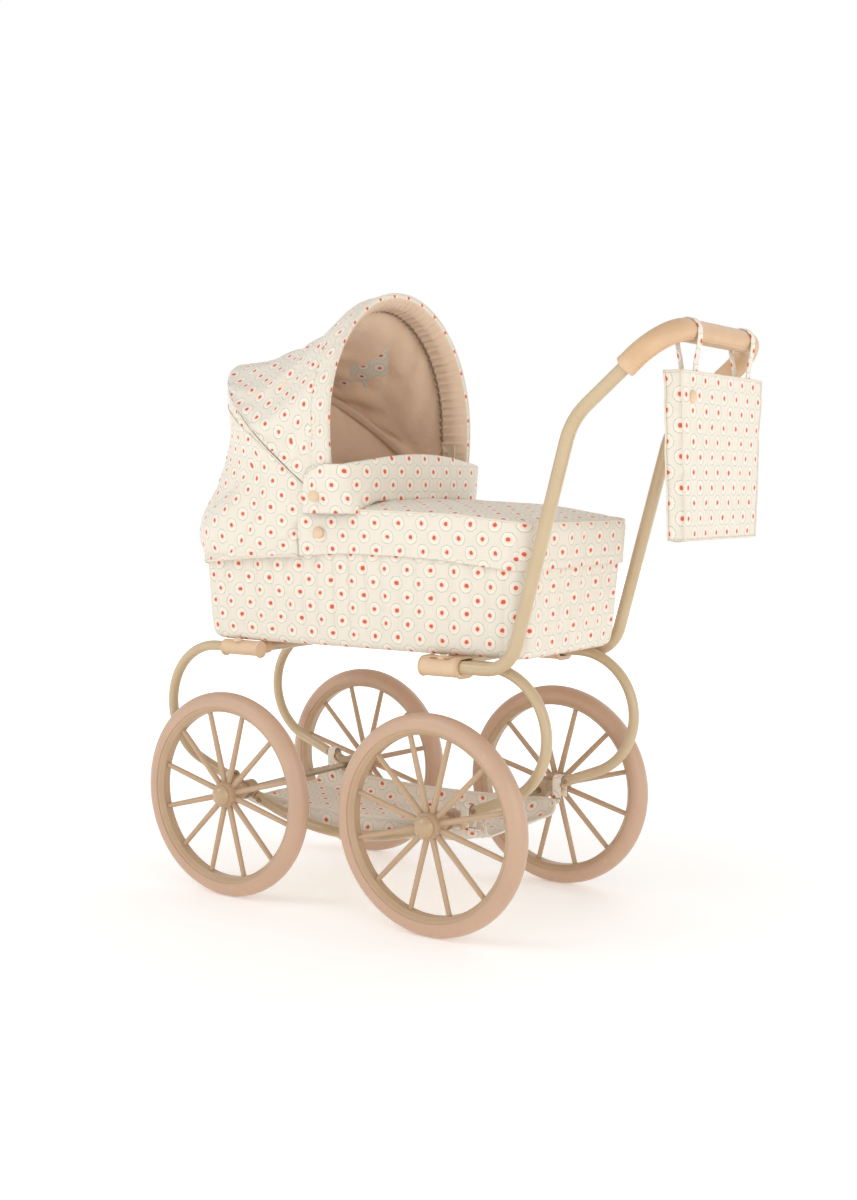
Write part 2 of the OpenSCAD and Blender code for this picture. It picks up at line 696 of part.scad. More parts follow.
bow_cols = 40;
bow_in = 6.3;
foot_t = 1.6;
foot_y = boss_out_y + 0.4 + foot_t / 2;
function bow_strip(inset) = [for (v = [-3.2, 3.2])
    [for (j = [2:bow_cols - 2]) rear_curve(j / bow_cols, inset) + across(v)]];

// Rear bow: a strip over the back, with a foot on each pivot
module rear_bow() color(tube_colour) {
    foot = [pivot_x - 14 * cos(rear_angle), pivot_z + 14 * sin(rear_angle)];
    sheet(bow_strip(bow_in), bow_strip(bow_in + 2.2));
    difference() {
        for (s = [-1, 1]) {
            upright(s * foot_y) hull() {
                translate([pivot_x, pivot_z, 0]) cylinder(h = foot_t, r = 6, center = true, $fn = 32);
                translate([foot[0], foot[1], 0]) cylinder(h = foot_t, r = 3.4, center = true, $fn = 32);
            }
            rod_y(3.2, foot[0], foot[1], s > 0 ? foot_y : -foot_y - 4, s > 0 ? foot_y + 4 : -foot_y);
        }
        rod_y(3.02, pivot_x, pivot_z, -hood_w, hood_w);
    }
}

// Direction across the rear bow's plane, length v
function across(v) = v * [sin(rear_angle), 0, cos(rear_angle)];

// Hem of the skirt, along the bassinet's wall: t runs from the left side round the front
side_run = 103;
hem_w = body_w_top + 3.6;
hem_corner = front_corner + 8;
hem_end_x = -192;
hem_path_len = 2 * side_run + PI * hem_corner + 2 * (hem_w - hem_corner);
function hem_xy(t, grow) = let(
        r = hem_corner + grow, w = hem_w + grow, half = hem_path_len / 2,
        d = (t < 0.5 ? t : 1 - t) * hem_path_len, s = t < 0.5 ? -1 : 1,
        side = side_run, arc = PI / 2 * hem_corner, x_corner = hem_end_x + hem_corner,
        a = 90 * (d - side) / arc)
    d < side ? [x_corner + side - d, s * w]
    : d < side + arc ? [x_corner - r * sin(a), s * (hem_w - hem_corner + r * cos(a))]
    : [hem_end_x - grow, s * (half - d)];

// Outward swell of the skirt at fraction f below the bow: a waist down to fraction k, then a bulge
waist_z = 400;
waist_in = 16;
bulge_out = 14;
full_h = 206;
function swell(f, k, drop, h, t) = f < k
    ? -waist_in * max(0, drop / (full_h - waist_z + hem_z)) * pow(sin(180 * f / k), 2)
    : bulge_out * sqrt(max(0.25, min(1, h / full_h))) * min(1, 0.2 + 5 * min(t, 1 - t))
        * sin(180 * (f - k) / ((1 - k) * 1.04));

skirt_rows = 16;
skirt_cols = 44;
function skirt_point(i, j, inset) = let(
        f = i / skirt_rows, t = 0.04 + 0.92 * j / skirt_cols,
        top = rear_curve(t, inset), hem_height = hem_z + 14 * pow(cos(180 * t), 2),
        h = top[2] - hem_height, k = max(0.08, (top[2] - waist_z) / h),
        foot = hem_xy(t, -inset),
        out = hem_xy(t, swell(f, k, top[2] - waist_z, h, t)) - hem_xy(t, 0))
    [lerp(top[0], foot[0], smooth(f)) + out[0], lerp(top[1], foot[1], smooth(f)) + out[1],
        lerp(top[2] - 0.5, hem_height, f)];
function smooth(f) = sin(90 * min(1, f / 0.8));

module rear_skirt() color(cloth_colour)
    sheet([for (i = [0:skirt_rows]) [for (j = [0:skirt_cols]) skirt_point(i, j, 0)]],
        [for (i = [0:skirt_rows]) [for (j = [0:skirt_cols]) skirt_point(i, j, skirt_t)]]);

// Canopy: cloth from the band's back edge to the rear bow, sagging a little between them
canopy_rows = 12;
canopy_cols = 44;
function front_curve(t, inset) = let(
        f = abs(2 * t - 1), s = t < 0.5 ? -1 : 1, b = 90 * (crown_part - f) / crown_part)
    f > crown_part
        ? let(z = lerp(leg_z, arch_z, (1 - f) / (1 - crown_part)))
            [0, s * (arch_half(z, hood_top_z) - inset - flare(z)), z]
        : [0, s * (hood_w - inset - flare_side) * cos(b),
            arch_z + (hood_top_z - inset - flare_top - arch_z) * sin(b)];
// Height of the canopy against the straight line between the bows; d runs from 0 at the crest to 1
canopy_sag = 13;
function canopy_lift(f, d) = let(c = max(0, min(1, (0.62 - d) / 0.4)), crown = c * c * (3 - 2 * c))
    4 * f * (1 - f) * (1 - crown) - canopy_sag * crown * sin(180 * pow(f, 0.8));
function canopy_point(i, j, inset) = let(
        f = i / canopy_rows, t = 0.03 + 0.94 * j / canopy_cols,
        a = front_curve(t, inset) + [hood_front_x - band_depth - 0.3, 0, 0],
        b = rear_curve(t, inset) + across(0.5),
        up = canopy_lift(f, abs(2 * t - 1)))
    lerp(a, b, f) + [-0.3 * up, 0, up];

module canopy() color(cloth_colour)
    sheet([for (i = [0:canopy_rows]) [for (j = [0:canopy_cols]) canopy_point(i, canopy_cols - j, 0)]],
        [for (i = [0:canopy_rows]) [for (j = [0:canopy_cols]) canopy_point(i, canopy_cols - j, canopy_t)]]);

// Wind flap: a padded panel across the hood's mouth with tabs that lap the hood's sides
flap_cols = 30;
function flap_plan(t, grow) = let(
        w = hood_w - 3 + grow, c = 12, side = 36, s = t < 0.5 ? -1 : 1, d = abs(2 * t - 1))
    d > 0.62 ? [flap_x - c - side * (d - 0.62) / 0.38, s * w]
    : d > 0.5 ? let(a = 90 * (0.62 - d) / 0.12)
        [flap_x - c + (c + grow) * sin(a), s * (w - c - grow + (c + grow) * cos(a))]
    : [flap_x + grow + 7 * cos(90 * d / 0.5), s * (w - c - grow) * d / 0.5];
function flap_top(t) = let(d = abs(2 * t - 1)) d > 0.5 ? 416 : 416 + 11 * cos(180 * d);
function flap_low(t) = flap_low_z - 15 * pow(max(0, min(1, (abs(2 * t - 1) - 0.25) / 0.25)), 2);
function flap_point(t, f, grow) = let(
        p = flap_plan(t, grow + 1), z = lerp(flap_low(t), flap_top(t), f), d = abs(2 * t - 1),
        w = arch_half(max(z, leg_z - 6), hood_top_z) - arch_half(416, hood_top_z))
    [p[0], p[1] + (d > 0.5 ? sign(p[1]) * w : 0), z];

module wind_flap() color(cloth_colour)
    sheet([for (i = [0:4]) [for (j = [0:flap_cols]) flap_point(j / flap_cols, i / 4, flap_t)]],
        [for (i = [0:4]) [for (j = [0:flap_cols]) flap_point(j / flap_cols, i / 4, 0)]]);

// Snaps that hold the flap's tabs and the apron's corners: each [x, z, half width to its back]
SNAP_PLACES = [[-8, 390, 114.8], [-16, 356, hem_w + 1.4]];
module flap_snaps() color(snap_colour)
    for (s = [-1, 1], p = SNAP_PLACES)
        rod_y(5.4, p[0], p[1], s > 0 ? p[2] : -p[2] - 2, s > 0 ? p[2] + 2 : -p[2]);

// ---------------------------------------------------------------- bag

function bag_ring(z, inset) = let(f = (bag_top_z - z) / bag_h, w = lerp(bag_w, bag_w_low, f) - inset)
    [for (p = [[-1, -1], [1, -1], [1, 1], [-1, 1]]) [bar_x + p[0] * (bag_half_t - inset), p[1] * w, z]];

module bag_pouch() color(cloth_colour) difference() {
    loft([bag_ring(bag_top_z - bag_h, 2), bag_ring(bag_top_z - bag_h + 3, 0), bag_ring(bag_top_z, 0)]);
    loft([bag_ring(bag_top_z - bag_h + bag_wall, 3), bag_ring(bag_top_z - bag_h + 4, bag_wall),
        bag_ring(bag_top_z + 1, bag_wall)]);
}

// Two straps that loop over the grip, each with its ends sewn inside the pouch
module bag_straps() {
    r0 = grip_r + gap;
    color(cloth_colour) for (y = strap_ys)
        translate([bar_x, y + strap_w / 2, bar_z]) rotate([90, 0, 0]) linear_extrude(strap_w)
            difference() {
                union() {
                    circle(r = r0 + strap_t);
                    for (s = [-1, 1]) polygon([
                        [s * r0, 0], [s * (r0 + strap_t), 0],
                        [s * (bag_half_t - bag_wall - 0.1), bag_top_z - bar_z],
                        [s * (bag_half_t - bag_wall - 0.1), bag_top_z - bar_z - 12],
                        [s * (bag_half_t - bag_wall - 0.1 - strap_t), bag_top_z - bar_z - 12],
                        [s * (bag_half_t - bag_wall - 0.1 - strap_t), bag_top_z - bar_z]
                    ]);
                }
                circle(r = r0);
            }
}

module bag_snap() color(snap_colour)
    rod_x(5.4, bar_x + bag_half_t + 0.1, bar_x + bag_half_t + 2.1, -62, bag_top_z - 20);

// ---------------------------------------------------------------- nodes

place() tyre(-1, -1);  // tyre_front_left
place() tyre(-1, 1);  // tyre_front_right
place() tyre(1, -1);  // tyre_rear_left
place() tyre(1, 1);  // tyre_rear_right
place() wheel(-1, -1);  // wheel_front_left
place() wheel(-1, 1);  // wheel_front_right
place() wheel(1, -1);  // wheel_rear_left
place() wheel(1, 1);  // wheel_rear_right
place() hub_cap(-1, -1);  // hub_cap_front_left
place() hub_cap(-1, 1);  // hub_cap_front_right
place() hub_cap(1, -1);  // hub_cap_rear_left
place() hub_cap(1, 1);  // hub_cap_rear_right
place() axle(-1);  // axle_front
place() axle(1);  // axle_rear
place() axle_spacers();
place() bracket(-1, -1);  // bracket_front_left
place() bracket(-1, 1);  // bracket_front_right
place() bracket(1, -1);  // bracket_rear_left
place() bracket(1, 1);  // bracket_rear_right
place() c_tube(-1, -1);  // c_tube_front_left
place() c_tube(-1, 1);  // c_tube_front_right
place() c_tube(1, -1);  // c_tube_rear_left
place() c_tube(1, 1);  // c_tube_rear_right
place() rail(-1);  // rail_left
place() rail(1);  // rail_right
place() frame_rivets();
place() sleeve_front(-1);  // sleeve_front_left
place() sleeve_front(1);  // sleeve_front_right
place() sleeve_rear(-1);  // sleeve_rear_left
place() sleeve_rear(1);  // sleeve_rear_right
place() cross_bar(-1);  // cross_bar_front
place() cross_bar(1);  // cross_bar_rear
place() sleeve_snaps();
place() handle_tube();
place() handle_grip();
place() basket();
place() basket_tabs();
place() basket_snaps();
place() base_board();
place() wall_board();
place() quilted_cover();
place() lining();
place() mattress();
place() apron();
place() wind_flap();
place() flap_snaps();
place() hood_plate(-1);  // hood_plate_left
place() hood_plate(1);  // hood_plate_right
place() hood_pivots();
place() rear_bow();
place() rear_skirt();
place() front_bow();
place() front_band();
place() canopy();
place() bag_pouch();
place() bag_straps();
place() bag_snap();
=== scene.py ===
"""Looks of the doll pram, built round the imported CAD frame.

Lengths are millimetres about the middle of the four wheels, as in the CAD source, until world() turns
them into metres in the row frame. The main sizes are read from the frame's own boxes and joints; the
rest repeat part.scad, and change with it.
"""
import json
import math

import bmesh
import bpy
import numpy as np
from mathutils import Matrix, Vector

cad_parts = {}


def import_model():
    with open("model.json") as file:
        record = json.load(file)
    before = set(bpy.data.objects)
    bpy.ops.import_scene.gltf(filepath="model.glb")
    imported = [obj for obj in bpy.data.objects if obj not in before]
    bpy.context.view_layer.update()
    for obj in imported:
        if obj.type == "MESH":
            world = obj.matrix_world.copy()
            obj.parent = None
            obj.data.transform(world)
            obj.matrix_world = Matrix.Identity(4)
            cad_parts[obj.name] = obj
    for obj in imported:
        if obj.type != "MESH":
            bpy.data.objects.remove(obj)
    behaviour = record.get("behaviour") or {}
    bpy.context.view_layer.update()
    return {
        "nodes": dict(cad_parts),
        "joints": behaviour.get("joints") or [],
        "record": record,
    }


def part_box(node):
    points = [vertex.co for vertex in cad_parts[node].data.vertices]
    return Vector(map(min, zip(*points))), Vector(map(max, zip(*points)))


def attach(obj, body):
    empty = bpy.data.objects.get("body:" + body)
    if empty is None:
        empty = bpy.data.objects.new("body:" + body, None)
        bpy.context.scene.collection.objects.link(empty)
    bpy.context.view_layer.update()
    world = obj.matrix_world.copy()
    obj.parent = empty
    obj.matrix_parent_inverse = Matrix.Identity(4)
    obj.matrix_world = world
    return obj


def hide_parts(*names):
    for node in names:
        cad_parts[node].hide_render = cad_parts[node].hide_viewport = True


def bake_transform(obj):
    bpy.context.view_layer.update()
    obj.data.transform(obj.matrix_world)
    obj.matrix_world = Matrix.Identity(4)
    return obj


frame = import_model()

MM = 0.001
UP = np.array([0, 0, 1.0])
joints = {j["name"]: j for j in frame["joints"]}

# ---------------------------------------------------------------- places from the frame

axle_corners = np.array([corner for node in ("axle_front", "axle_rear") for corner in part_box(node)]) / MM
SHIFT = np.array([axle_corners[:, 0].mean(), 0, 0])


def world(points):
    """Metres in the row frame, from millimetres about the wheels' middle."""
    return (np.asarray(points, float) + SHIFT) * MM


def node_box(node):
    low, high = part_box(node)
    return np.array(low) / MM - SHIFT, np.array(high) / MM - SHIFT


def joint_place(name):
    return np.array(joints[name]["pos_m"]) / MM - SHIFT


body_low, body_high = node_box("quilted_cover")
band_low, band_high = node_box("front_band")
bag_low, bag_high = node_box("bag_pouch")
basket_high = node_box("basket")[1]
PIVOT = joint_place("hood_fold")
BAR = joint_place("bag_swing")

# Bassinet: the ring at its top, and how much smaller it is at the bottom
TOP_W = body_high[1]
TOP_BACK = body_high[0]
TOP_FRONT = body_low[0]
BODY_H = body_high[2] - body_low[2]
LEAN_W, LEAN_BACK, LEAN_FRONT = 10, 7, 2
FRONT_R, BACK_R = 46, 18

# Hood
HOOD_W = band_high[1]
HOOD_TOP = band_high[2]
BAND_FRONT, BAND_BACK = band_high[0], band_low[0]
LEG_Z = band_low[2]
ARCH_Z = LEG_Z + 67
LEG_IN = 10
FLARE_SIDE, FLARE_FOOT, FLARE_TOP = 6, 2, 3
REAR_ANGLE = math.radians(39)
REAR_REACH = 214
REAR_ARCH = 68
REAR_W = HOOD_W - 6.5
REAR_DROP = 6
SAG = 13
CROWN_PART = 0.36
HEM_Z = 319

# Print and quilting
PRINT_CELL = 25
CHANNEL = 18.75

# ---------------------------------------------------------------- small tools


def lerp(a, b, f):
    return a + (b - a) * f


def ease(f):
    return f * f * (3 - 2 * f)


def lumps(points, size, seed=0):
    """Smooth noise from about -1 to 1, in lumps about size across."""
    p = np.asarray(points, float) / size + 17.3 * (seed + 1)
    cell = np.floor(p).astype(int)
    part = ease(p - cell)
    total = 0
    for corner in np.ndindex(2, 2, 2):
        mix = (cell + corner) @ np.array([127.1, 311.7, 74.7])
        value = np.sin(mix) * 43758.5453
        weight = np.prod(np.where(corner, part, 1 - part), axis=-1)
        total = total + weight * (2 * (value - np.floor(value)) - 1)
    return total


def lengths(points):
    """How far along a line each of its points lies."""
    return np.concatenate([[0], np.cumsum(np.linalg.norm(np.diff(points, axis=0), axis=1))])


def polyline(points, count, closed=False):
    """The points of a line, count of them, evenly spaced along it."""
    p = np.asarray(points, float)
    if closed:
        p = np.vstack([p, p[:1]])
    along = lengths(p)
    at = np.linspace(0, along[-1], count, endpoint=not closed)
    return np.stack([np.interp(at, along, p[:, k]) for k in range(p.shape[1])], axis=1)


def directions(path, closed=False):
    """Unit vectors along a path."""
    if closed:
        d = np.roll(path, -1, axis=0) - np.roll(path, 1, axis=0)
    else:
        d = np.gradient(path, axis=0)
    return d / np.linalg.norm(d, axis=1, keepdims=True)


def surface_normals(rows, closed=False):
    """Unit normals of a grid of points."""
    if closed:
        across = np.roll(rows, -1, axis=1) - np.roll(rows, 1, axis=1)
    else:
        across = np.gradient(rows, axis=1)
    n = np.cross(across, np.gradient(rows, axis=0))
    return n / np.maximum(np.linalg.norm(n, axis=2, keepdims=True), 1e-9)


def make_object(name, points, faces, uvs, materials, face_material=None, weld=False):
    """A smooth mesh piece. uvs has one pair of millimetres for each face corner."""
    mesh = bpy.data.meshes.new(name)
    mesh.from_pydata(world(points).tolist(), [], [tuple(f) for f in faces])
    layer = mesh.uv_layers.new(name="cloth")
    layer.data.foreach_set("uv", (np.asarray(uvs, float) * MM).ravel())
    mesh.polygons.foreach_set("use_smooth", [True] * len(mesh.polygons))
    for material in materials:
        mesh.materials.append(material)
    if face_material is not None:
        mesh.polygons.foreach_set("material_index", face_material)
    piece = bpy.data.objects.new(name, mesh)
    bpy.context.scene.collection.objects.link(piece)
    if weld:
        clean(piece)
    mesh.update()
    return piece


def clean(piece, weld=True):
    """Turns a mesh's faces outwards, and may first join points that lie together and drop empty faces."""
    bm = bmesh.new()
    bm.from_mesh(piece.data)
    if weld:
        bmesh.ops.remove_doubles(bm, verts=bm.verts, dist=0.02 * MM)
        bmesh.ops.dissolve_degenerate(bm, dist=0.01 * MM, edges=bm.edges)
    bmesh.ops.recalc_face_normals(bm, faces=bm.faces)
    bm.to_mesh(piece.data)
    bm.free()


def sheet_grid(name, rows, uv, materials, closed=False, flip=False, weld=False):
    """A surface through a grid of points. A closed grid's uv has one more column than its points."""
    m, n = rows.shape[:2]
    i, j = np.meshgrid(np.arange(m - 1), np.arange(n if closed else n - 1), indexing="ij")
    i, j = i.ravel(), j.ravel()
    k = (j + 1) % n
    faces = np.stack([i * n + j, i * n + k, (i + 1) * n + k, (i + 1) * n + j], axis=1)
    uvs = np.stack([uv[i, j], uv[i, j + 1], uv[i + 1, j + 1], uv[i + 1, j]], axis=1)
    if flip:
        faces, uvs = faces[:, ::-1], uvs[:, ::-1]
    return make_object(name, rows.reshape(-1, 3), faces, uvs, materials, weld=weld)


def thicken(piece, thickness, inner=0):
    """Gives a sheet its thickness, inwards, with the material of index inner on its inner face."""
    solid = piece.modifiers.new("thickness", "SOLIDIFY")
    solid.thickness = thickness * MM
    solid.offset = -1
    solid.use_even_offset = False
    solid.material_offset = inner
    solid.material_offset_rim = 0
    return piece


def swept(name, rings, materials, uv=None, closed=False, ring_material=None):
    """A solid through rings of points, each ring closed, with flat ends unless the path is closed."""
    m, n = rings.shape[:2]
    along = lengths(rings.mean(axis=1))
    around = lengths(np.vstack([rings[m // 2], rings[m // 2][:1]]))
    if closed:
        along = np.append(along, along[-1] + np.linalg.norm(rings[0].mean(axis=0) - rings[-1].mean(axis=0)))
    if uv is None:
        uv = np.stack(np.meshgrid(along, around, indexing="ij"), axis=2)
    faces, uvs, index = [], [], []
    for i in range(m if closed else m - 1):
        for j in range(n):
            k, i2 = (j + 1) % n, (i + 1) % m
            faces.append((i * n + j, i * n + k, i2 * n + k, i2 * n + j))
            uvs += [uv[i, j], uv[i, j + 1], uv[i + 1, j + 1], uv[i + 1, j]]
            index.append(ring_material[j] if ring_material is not None else 0)
    if not closed:
        for i in (0, m - 1):
            order = range(n) if i else range(n - 1, -1, -1)
            faces.append([i * n + j for j in order])
            uvs += [uv[i, j] for j in order]
            index.append(0)
    piece = make_object(name, rings.reshape(-1, 3), faces, uvs, materials, index)
    clean(piece, weld=False)
    return piece


def section_rings(path, normals, section, closed=False):
    """Rings of a section's points (along the normal, across the path) set up at each point of a path."""
    d = directions(path, closed)
    n = normals - (normals * d).sum(axis=1, keepdims=True) * d
    n = n / np.linalg.norm(n, axis=1, keepdims=True)
    side = np.cross(d, n)
    s = np.asarray(section, float)
    return path[:, None] + n[:, None] * s[None, :, :1] + side[:, None] * s[None, :, 1:2]


def circle(radius, count=10):
    a = np.linspace(0, 2 * math.pi, count, endpoint=False)
    return np.stack([radius * np.cos(a), radius * np.sin(a)], axis=1)


def strip_section(thick, width, corner=0.5, steps=3):
    """A flat section with round corners, thick along the normal and width across."""
    corner = min(corner, thick / 2, width / 2) * 0.999
    points = []
    for cx, cy, start in ((1, 1, 0), (-1, 1, 90), (-1, -1, 180), (1, -1, 270)):
        for k in range(steps + 1):
            a = math.radians(start + 90 * k / steps)
            points.append((cx * (thick / 2 - corner) + corner * math.cos(a),
                           cy * (width / 2 - corner) + corner * math.sin(a)))
    return points


def stitches(name, path, normals, material, length=2.6, gap=1.5, radius=0.32, sink=0.1):
    """A row of sewn stitches along a path, as small rounded threads."""
    total = lengths(path)[-1]
    count = max(2, int(total / (length + gap)))
    centre = polyline(path, count)
    along = directions(centre)
    keys = np.linspace(0, 1, len(normals))
    at = np.linspace(0, 1, count)
    n = np.stack([np.interp(at, keys, normals[:, k]) for k in range(3)], axis=1)
    n = n - (n * along).sum(axis=1, keepdims=True) * along
    n = n / np.linalg.norm(n, axis=1, keepdims=True)
    side = np.cross(along, n)
    points, faces, sides = [], [], 6
    for c, d, up, s in zip(centre, along, n, side):
        base = len(points)
        for f, size, lift in ((-0.5, 0.35, -0.3), (-0.25, 1, 0), (0.25, 1, 0), (0.5, 0.35, -0.3)):
            for k in range(sides):
                a = 2 * math.pi * k / sides
                points.append(c + d * f * length + (up * math.cos(a) + s * math.sin(a)) * radius * size
                              + up * (lift * radius - sink))
        for r in range(3):
            for k in range(sides):
                j = (k + 1) % sides
                faces.append((base + r * sides + k, base + r * sides + j,
                              base + (r + 1) * sides + j, base + (r + 1) * sides + k))
        faces.append([base + k for k in range(sides - 1, -1, -1)])
        faces.append([base + 3 * sides + k for k in range(sides)])
    uvs = np.zeros((sum(len(f) for f in faces), 2))
    piece = make_object(name, np.array(points), faces, uvs, [material])
    clean(piece, weld=False)
    return piece


def lathe(name, profile, origin, axis, material, segments=40):
    """A turned solid: profile is pairs of radius and height, from the axis out and back to the axis."""
    axis = np.asarray(axis, float) / np.linalg.norm(axis)
    helper = np.array([0, 0, 1.0]) if abs(axis[2]) < 0.9 else np.array([1.0, 0, 0])
    u = np.cross(axis, helper)
    u = u / np.linalg.norm(u)
    v = np.cross(axis, u)
    a = np.linspace(0, 2 * math.pi, segments, endpoint=False)
    spokes = np.cos(a)[:, None] * u + np.sin(a)[:, None] * v
    rows = np.array([np.asarray(origin) + axis * h + spokes * r for r, h in profile])
    uv = np.zeros((len(profile), segments + 1, 2))
    return sheet_grid(name, rows, uv, [material], closed=True, weld=True)


def flat_uv(rows):
    """Unrolls a grid into the plane, in millimetres, so that a print on it is not stretched."""
    m, n = rows.shape[:2]
    step_i, step_j = max(1, (m - 1) // 14), max(1, (n - 1) // 44)
    pick_i = np.unique(np.append(np.arange(0, m, step_i), m - 1))
    pick_j = np.unique(np.append(np.arange(0, n, step_j), n - 1))
    coarse = rows[np.ix_(pick_i, pick_j)]
    zero = np.zeros(coarse.shape[:2] + (2,))
    piece = sheet_grid("unroll", coarse, zero, [])
    bpy.context.view_layer.objects.active = piece
    piece.select_set(True)
    bpy.ops.object.mode_set(mode="EDIT")
    bpy.ops.mesh.select_all(action="SELECT")
    bpy.ops.uv.unwrap(method="ANGLE_BASED", margin=0)
    bpy.ops.object.mode_set(mode="OBJECT")
    mesh = piece.data
    uv = np.zeros(len(mesh.loops) * 2)
    mesh.uv_layers[0].data.foreach_get("uv", uv)
    corner = np.zeros(len(mesh.loops), int)
    mesh.loops.foreach_get("vertex_index", corner)
    flat = np.zeros((len(mesh.vertices), 2))
    flat[corner] = uv.reshape(-1, 2)
    bpy.data.objects.remove(piece)
    flat = flat.reshape(coarse.shape[0], coarse.shape[1], 2)
    real, drawn = (sum(np.linalg.norm(np.diff(grid, axis=k), axis=2).sum() for k in (1, 0))
                   for grid in (coarse, flat))
    flat = flat * real / drawn
    middle = coarse.shape[1] // 2
    up = flat[-1, middle] - flat[0, middle]
    turn = math.pi / 2 - math.atan2(up[1], up[0])
    c, s = math.cos(turn), math.sin(turn)
    spin = np.array([[c, s], [-s, c]])
    flat = flat @ spin - flat[0, middle] @ spin
    wide = np.stack([[np.interp(np.arange(n), pick_j, flat[i, :, k]) for k in (0, 1)]
                     for i in range(len(pick_i))])
    return np.stack([np.stack([np.interp(np.arange(m), pick_i, wide[:, k, j]) for k in (0, 1)], axis=1)
                     for j in range(n)], axis=1)


def mesh_points(mesh):
    """The places of a mesh's points, in metres."""
    places = np.zeros(len(mesh.vertices) * 3)
    mesh.vertices.foreach_get("co", places)
    return places.reshape(-1, 3)


def drape(piece, pinned, frames=22, gravity=0.0, pressure=0.0, grow=0.03, cap=6.0, stiff=15.0, bend=0.4):
    """Lets a sheet settle as cloth between its pinned points; each point moves at most cap millimetres."""
    scene = bpy.context.scene
    group = piece.vertex_groups.new(name="pinned")
    group.add([int(k) for k in pinned], 1.0, "REPLACE")
    cloth = piece.modifiers.new("settle", "CLOTH")
    s = cloth.settings
    s.quality = 6
    s.mass = 0.15
    s.tension_stiffness = stiff
    s.compression_stiffness = stiff
    s.shear_stiffness = stiff / 2
    s.bending_stiffness = bend
    s.shrink_min = -grow
    s.vertex_group_mass = "pinned"
    s.use_pressure = pressure != 0
    s.uniform_pressure_force = pressure
    s.effector_weights.gravity = gravity
    cloth.collision_settings.use_collision = False
    for f in range(1, frames + 1):
        scene.frame_set(f)
    dg = bpy.context.evaluated_depsgraph_get()
    settled = mesh_points(piece.evaluated_get(dg).data)
    piece.modifiers.remove(cloth)
    piece.vertex_groups.remove(group)
    scene.frame_set(1)
    rest = mesh_points(piece.data)
    move = settled - rest
    size = np.linalg.norm(move, axis=1, keepdims=True)
    limit = cap * MM
    move = move * limit * np.tanh(size / limit) / np.maximum(size, 1e-9)
    piece.data.vertices.foreach_set("co", (rest + move).ravel())
    piece.data.update()
    return piece


def grid_edges(m, n, sides="fblr"):
    """Numbers of a grid's edge points: first row, last row, left and right columns."""
    index = np.arange(m * n).reshape(m, n)
    picked = {"f": index[0], "b": index[-1], "l": index[:, 0], "r": index[:, -1]}
    return np.unique(np.concatenate([picked[s] for s in sides]))


# ---------------------------------------------------------------- materials


def srgb(r, g, b):
    """A colour given as 0 to 255, as the linear numbers that nodes take."""
    linear = [((c / 255 + 0.055) / 1.055) ** 2.4 if c > 10 else c / 255 / 12.92 for c in (r, g, b)]
    return (*linear, 1.0)


class Nodes:
    """A short way to build one material's nodes."""

    def __init__(self, name, roughness, **sockets):
        self.material = bpy.data.materials.new(name)
        self.material.use_nodes = True
        self.tree = self.material.node_tree
        self.shader = self.tree.nodes["Principled BSDF"]
        self.shader.inputs["Roughness"].default_value = roughness
        for socket, value in sockets.items():
            self.shader.inputs[socket.replace("_", " ")].default_value = value

    def add(self, kind, inputs=(), **settings):
        node = self.tree.nodes.new(kind)
        for key, value in settings.items():
            setattr(node, key, value)
        for key, value in dict(inputs).items():
            self.put(node.inputs[key], value)
        return node

    def put(self, socket, value):
        if isinstance(value, bpy.types.Node):
            value = value.outputs[0]
        if isinstance(value, bpy.types.NodeSocket):
            self.tree.links.new(value, socket)
        else:
            socket.default_value = value

    def math(self, operation, a, b=0.0, c=0.0):
        return self.add("ShaderNodeMath", {0: a, 1: b, 2: c}, operation=operation)

    def vector(self, operation, a, b=(0, 0, 0), c=(0, 0, 0)):
        return self.add("ShaderNodeVectorMath", {0: a, 1: b, 2: c}, operation=operation)

    def noise(self, vector, scale, detail=2.0):
        node = self.add("ShaderNodeTexNoise", {"Scale": scale, "Detail": detail})
        self.put(node.inputs["Vector"], vector)
        return node

    def remap(self, value, low, high, to_low=0.0, to_high=1.0):
        node = self.add("ShaderNodeMapRange", {"From Min": low, "From Max": high,
                                               "To Min": to_low, "To Max": to_high})
        self.put(node.inputs["Value"], value)
        return node

    def uneven(self, place, scale, detail, spread, base):
        """A number that wanders over the surface, from base up to base + spread."""
        return self.math("MULTIPLY_ADD", self.noise(place, scale, detail), spread, base)

    def in_mm(self, place):
        return self.add("ShaderNodeVectorMath", {0: place, "Scale": 1 / MM}, operation="SCALE")

    def mix(self, factor, a, b):
        node = self.add("ShaderNodeMix", data_type="RGBA")
        self.put(node.inputs[0], factor)
        self.put(node.inputs[6], a)
        self.put(node.inputs[7], b)
        return node.outputs[2]

    def bump(self, height, distance, strength=1.0, before=None):
        node = self.add("ShaderNodeBump", {"Strength": strength, "Distance": distance * MM})
        self.put(node.inputs["Height"], height)
        if before is not None:
            self.tree.links.new(before.outputs[0], node.inputs["Normal"])
        return node

    def finish(self, colour, normal=None, roughness=None):
        self.put(self.shader.inputs["Base Color"], colour)
        if normal is not None:
            self.tree.links.new(normal.outputs[0], self.shader.inputs["Normal"])
        if roughness is not None:
            self.put(self.shader.inputs["Roughness"], roughness)
        return self.material


def cloth_place(nodes):
    """The place on the flat cloth, in millimetres."""
    return nodes.in_mm(nodes.add("ShaderNodeUVMap", uv_map="cloth"))


def object_place(nodes):
    """The place on the object, in millimetres."""
    return nodes.in_mm(nodes.add("ShaderNodeTexCoord").outputs["Object"])


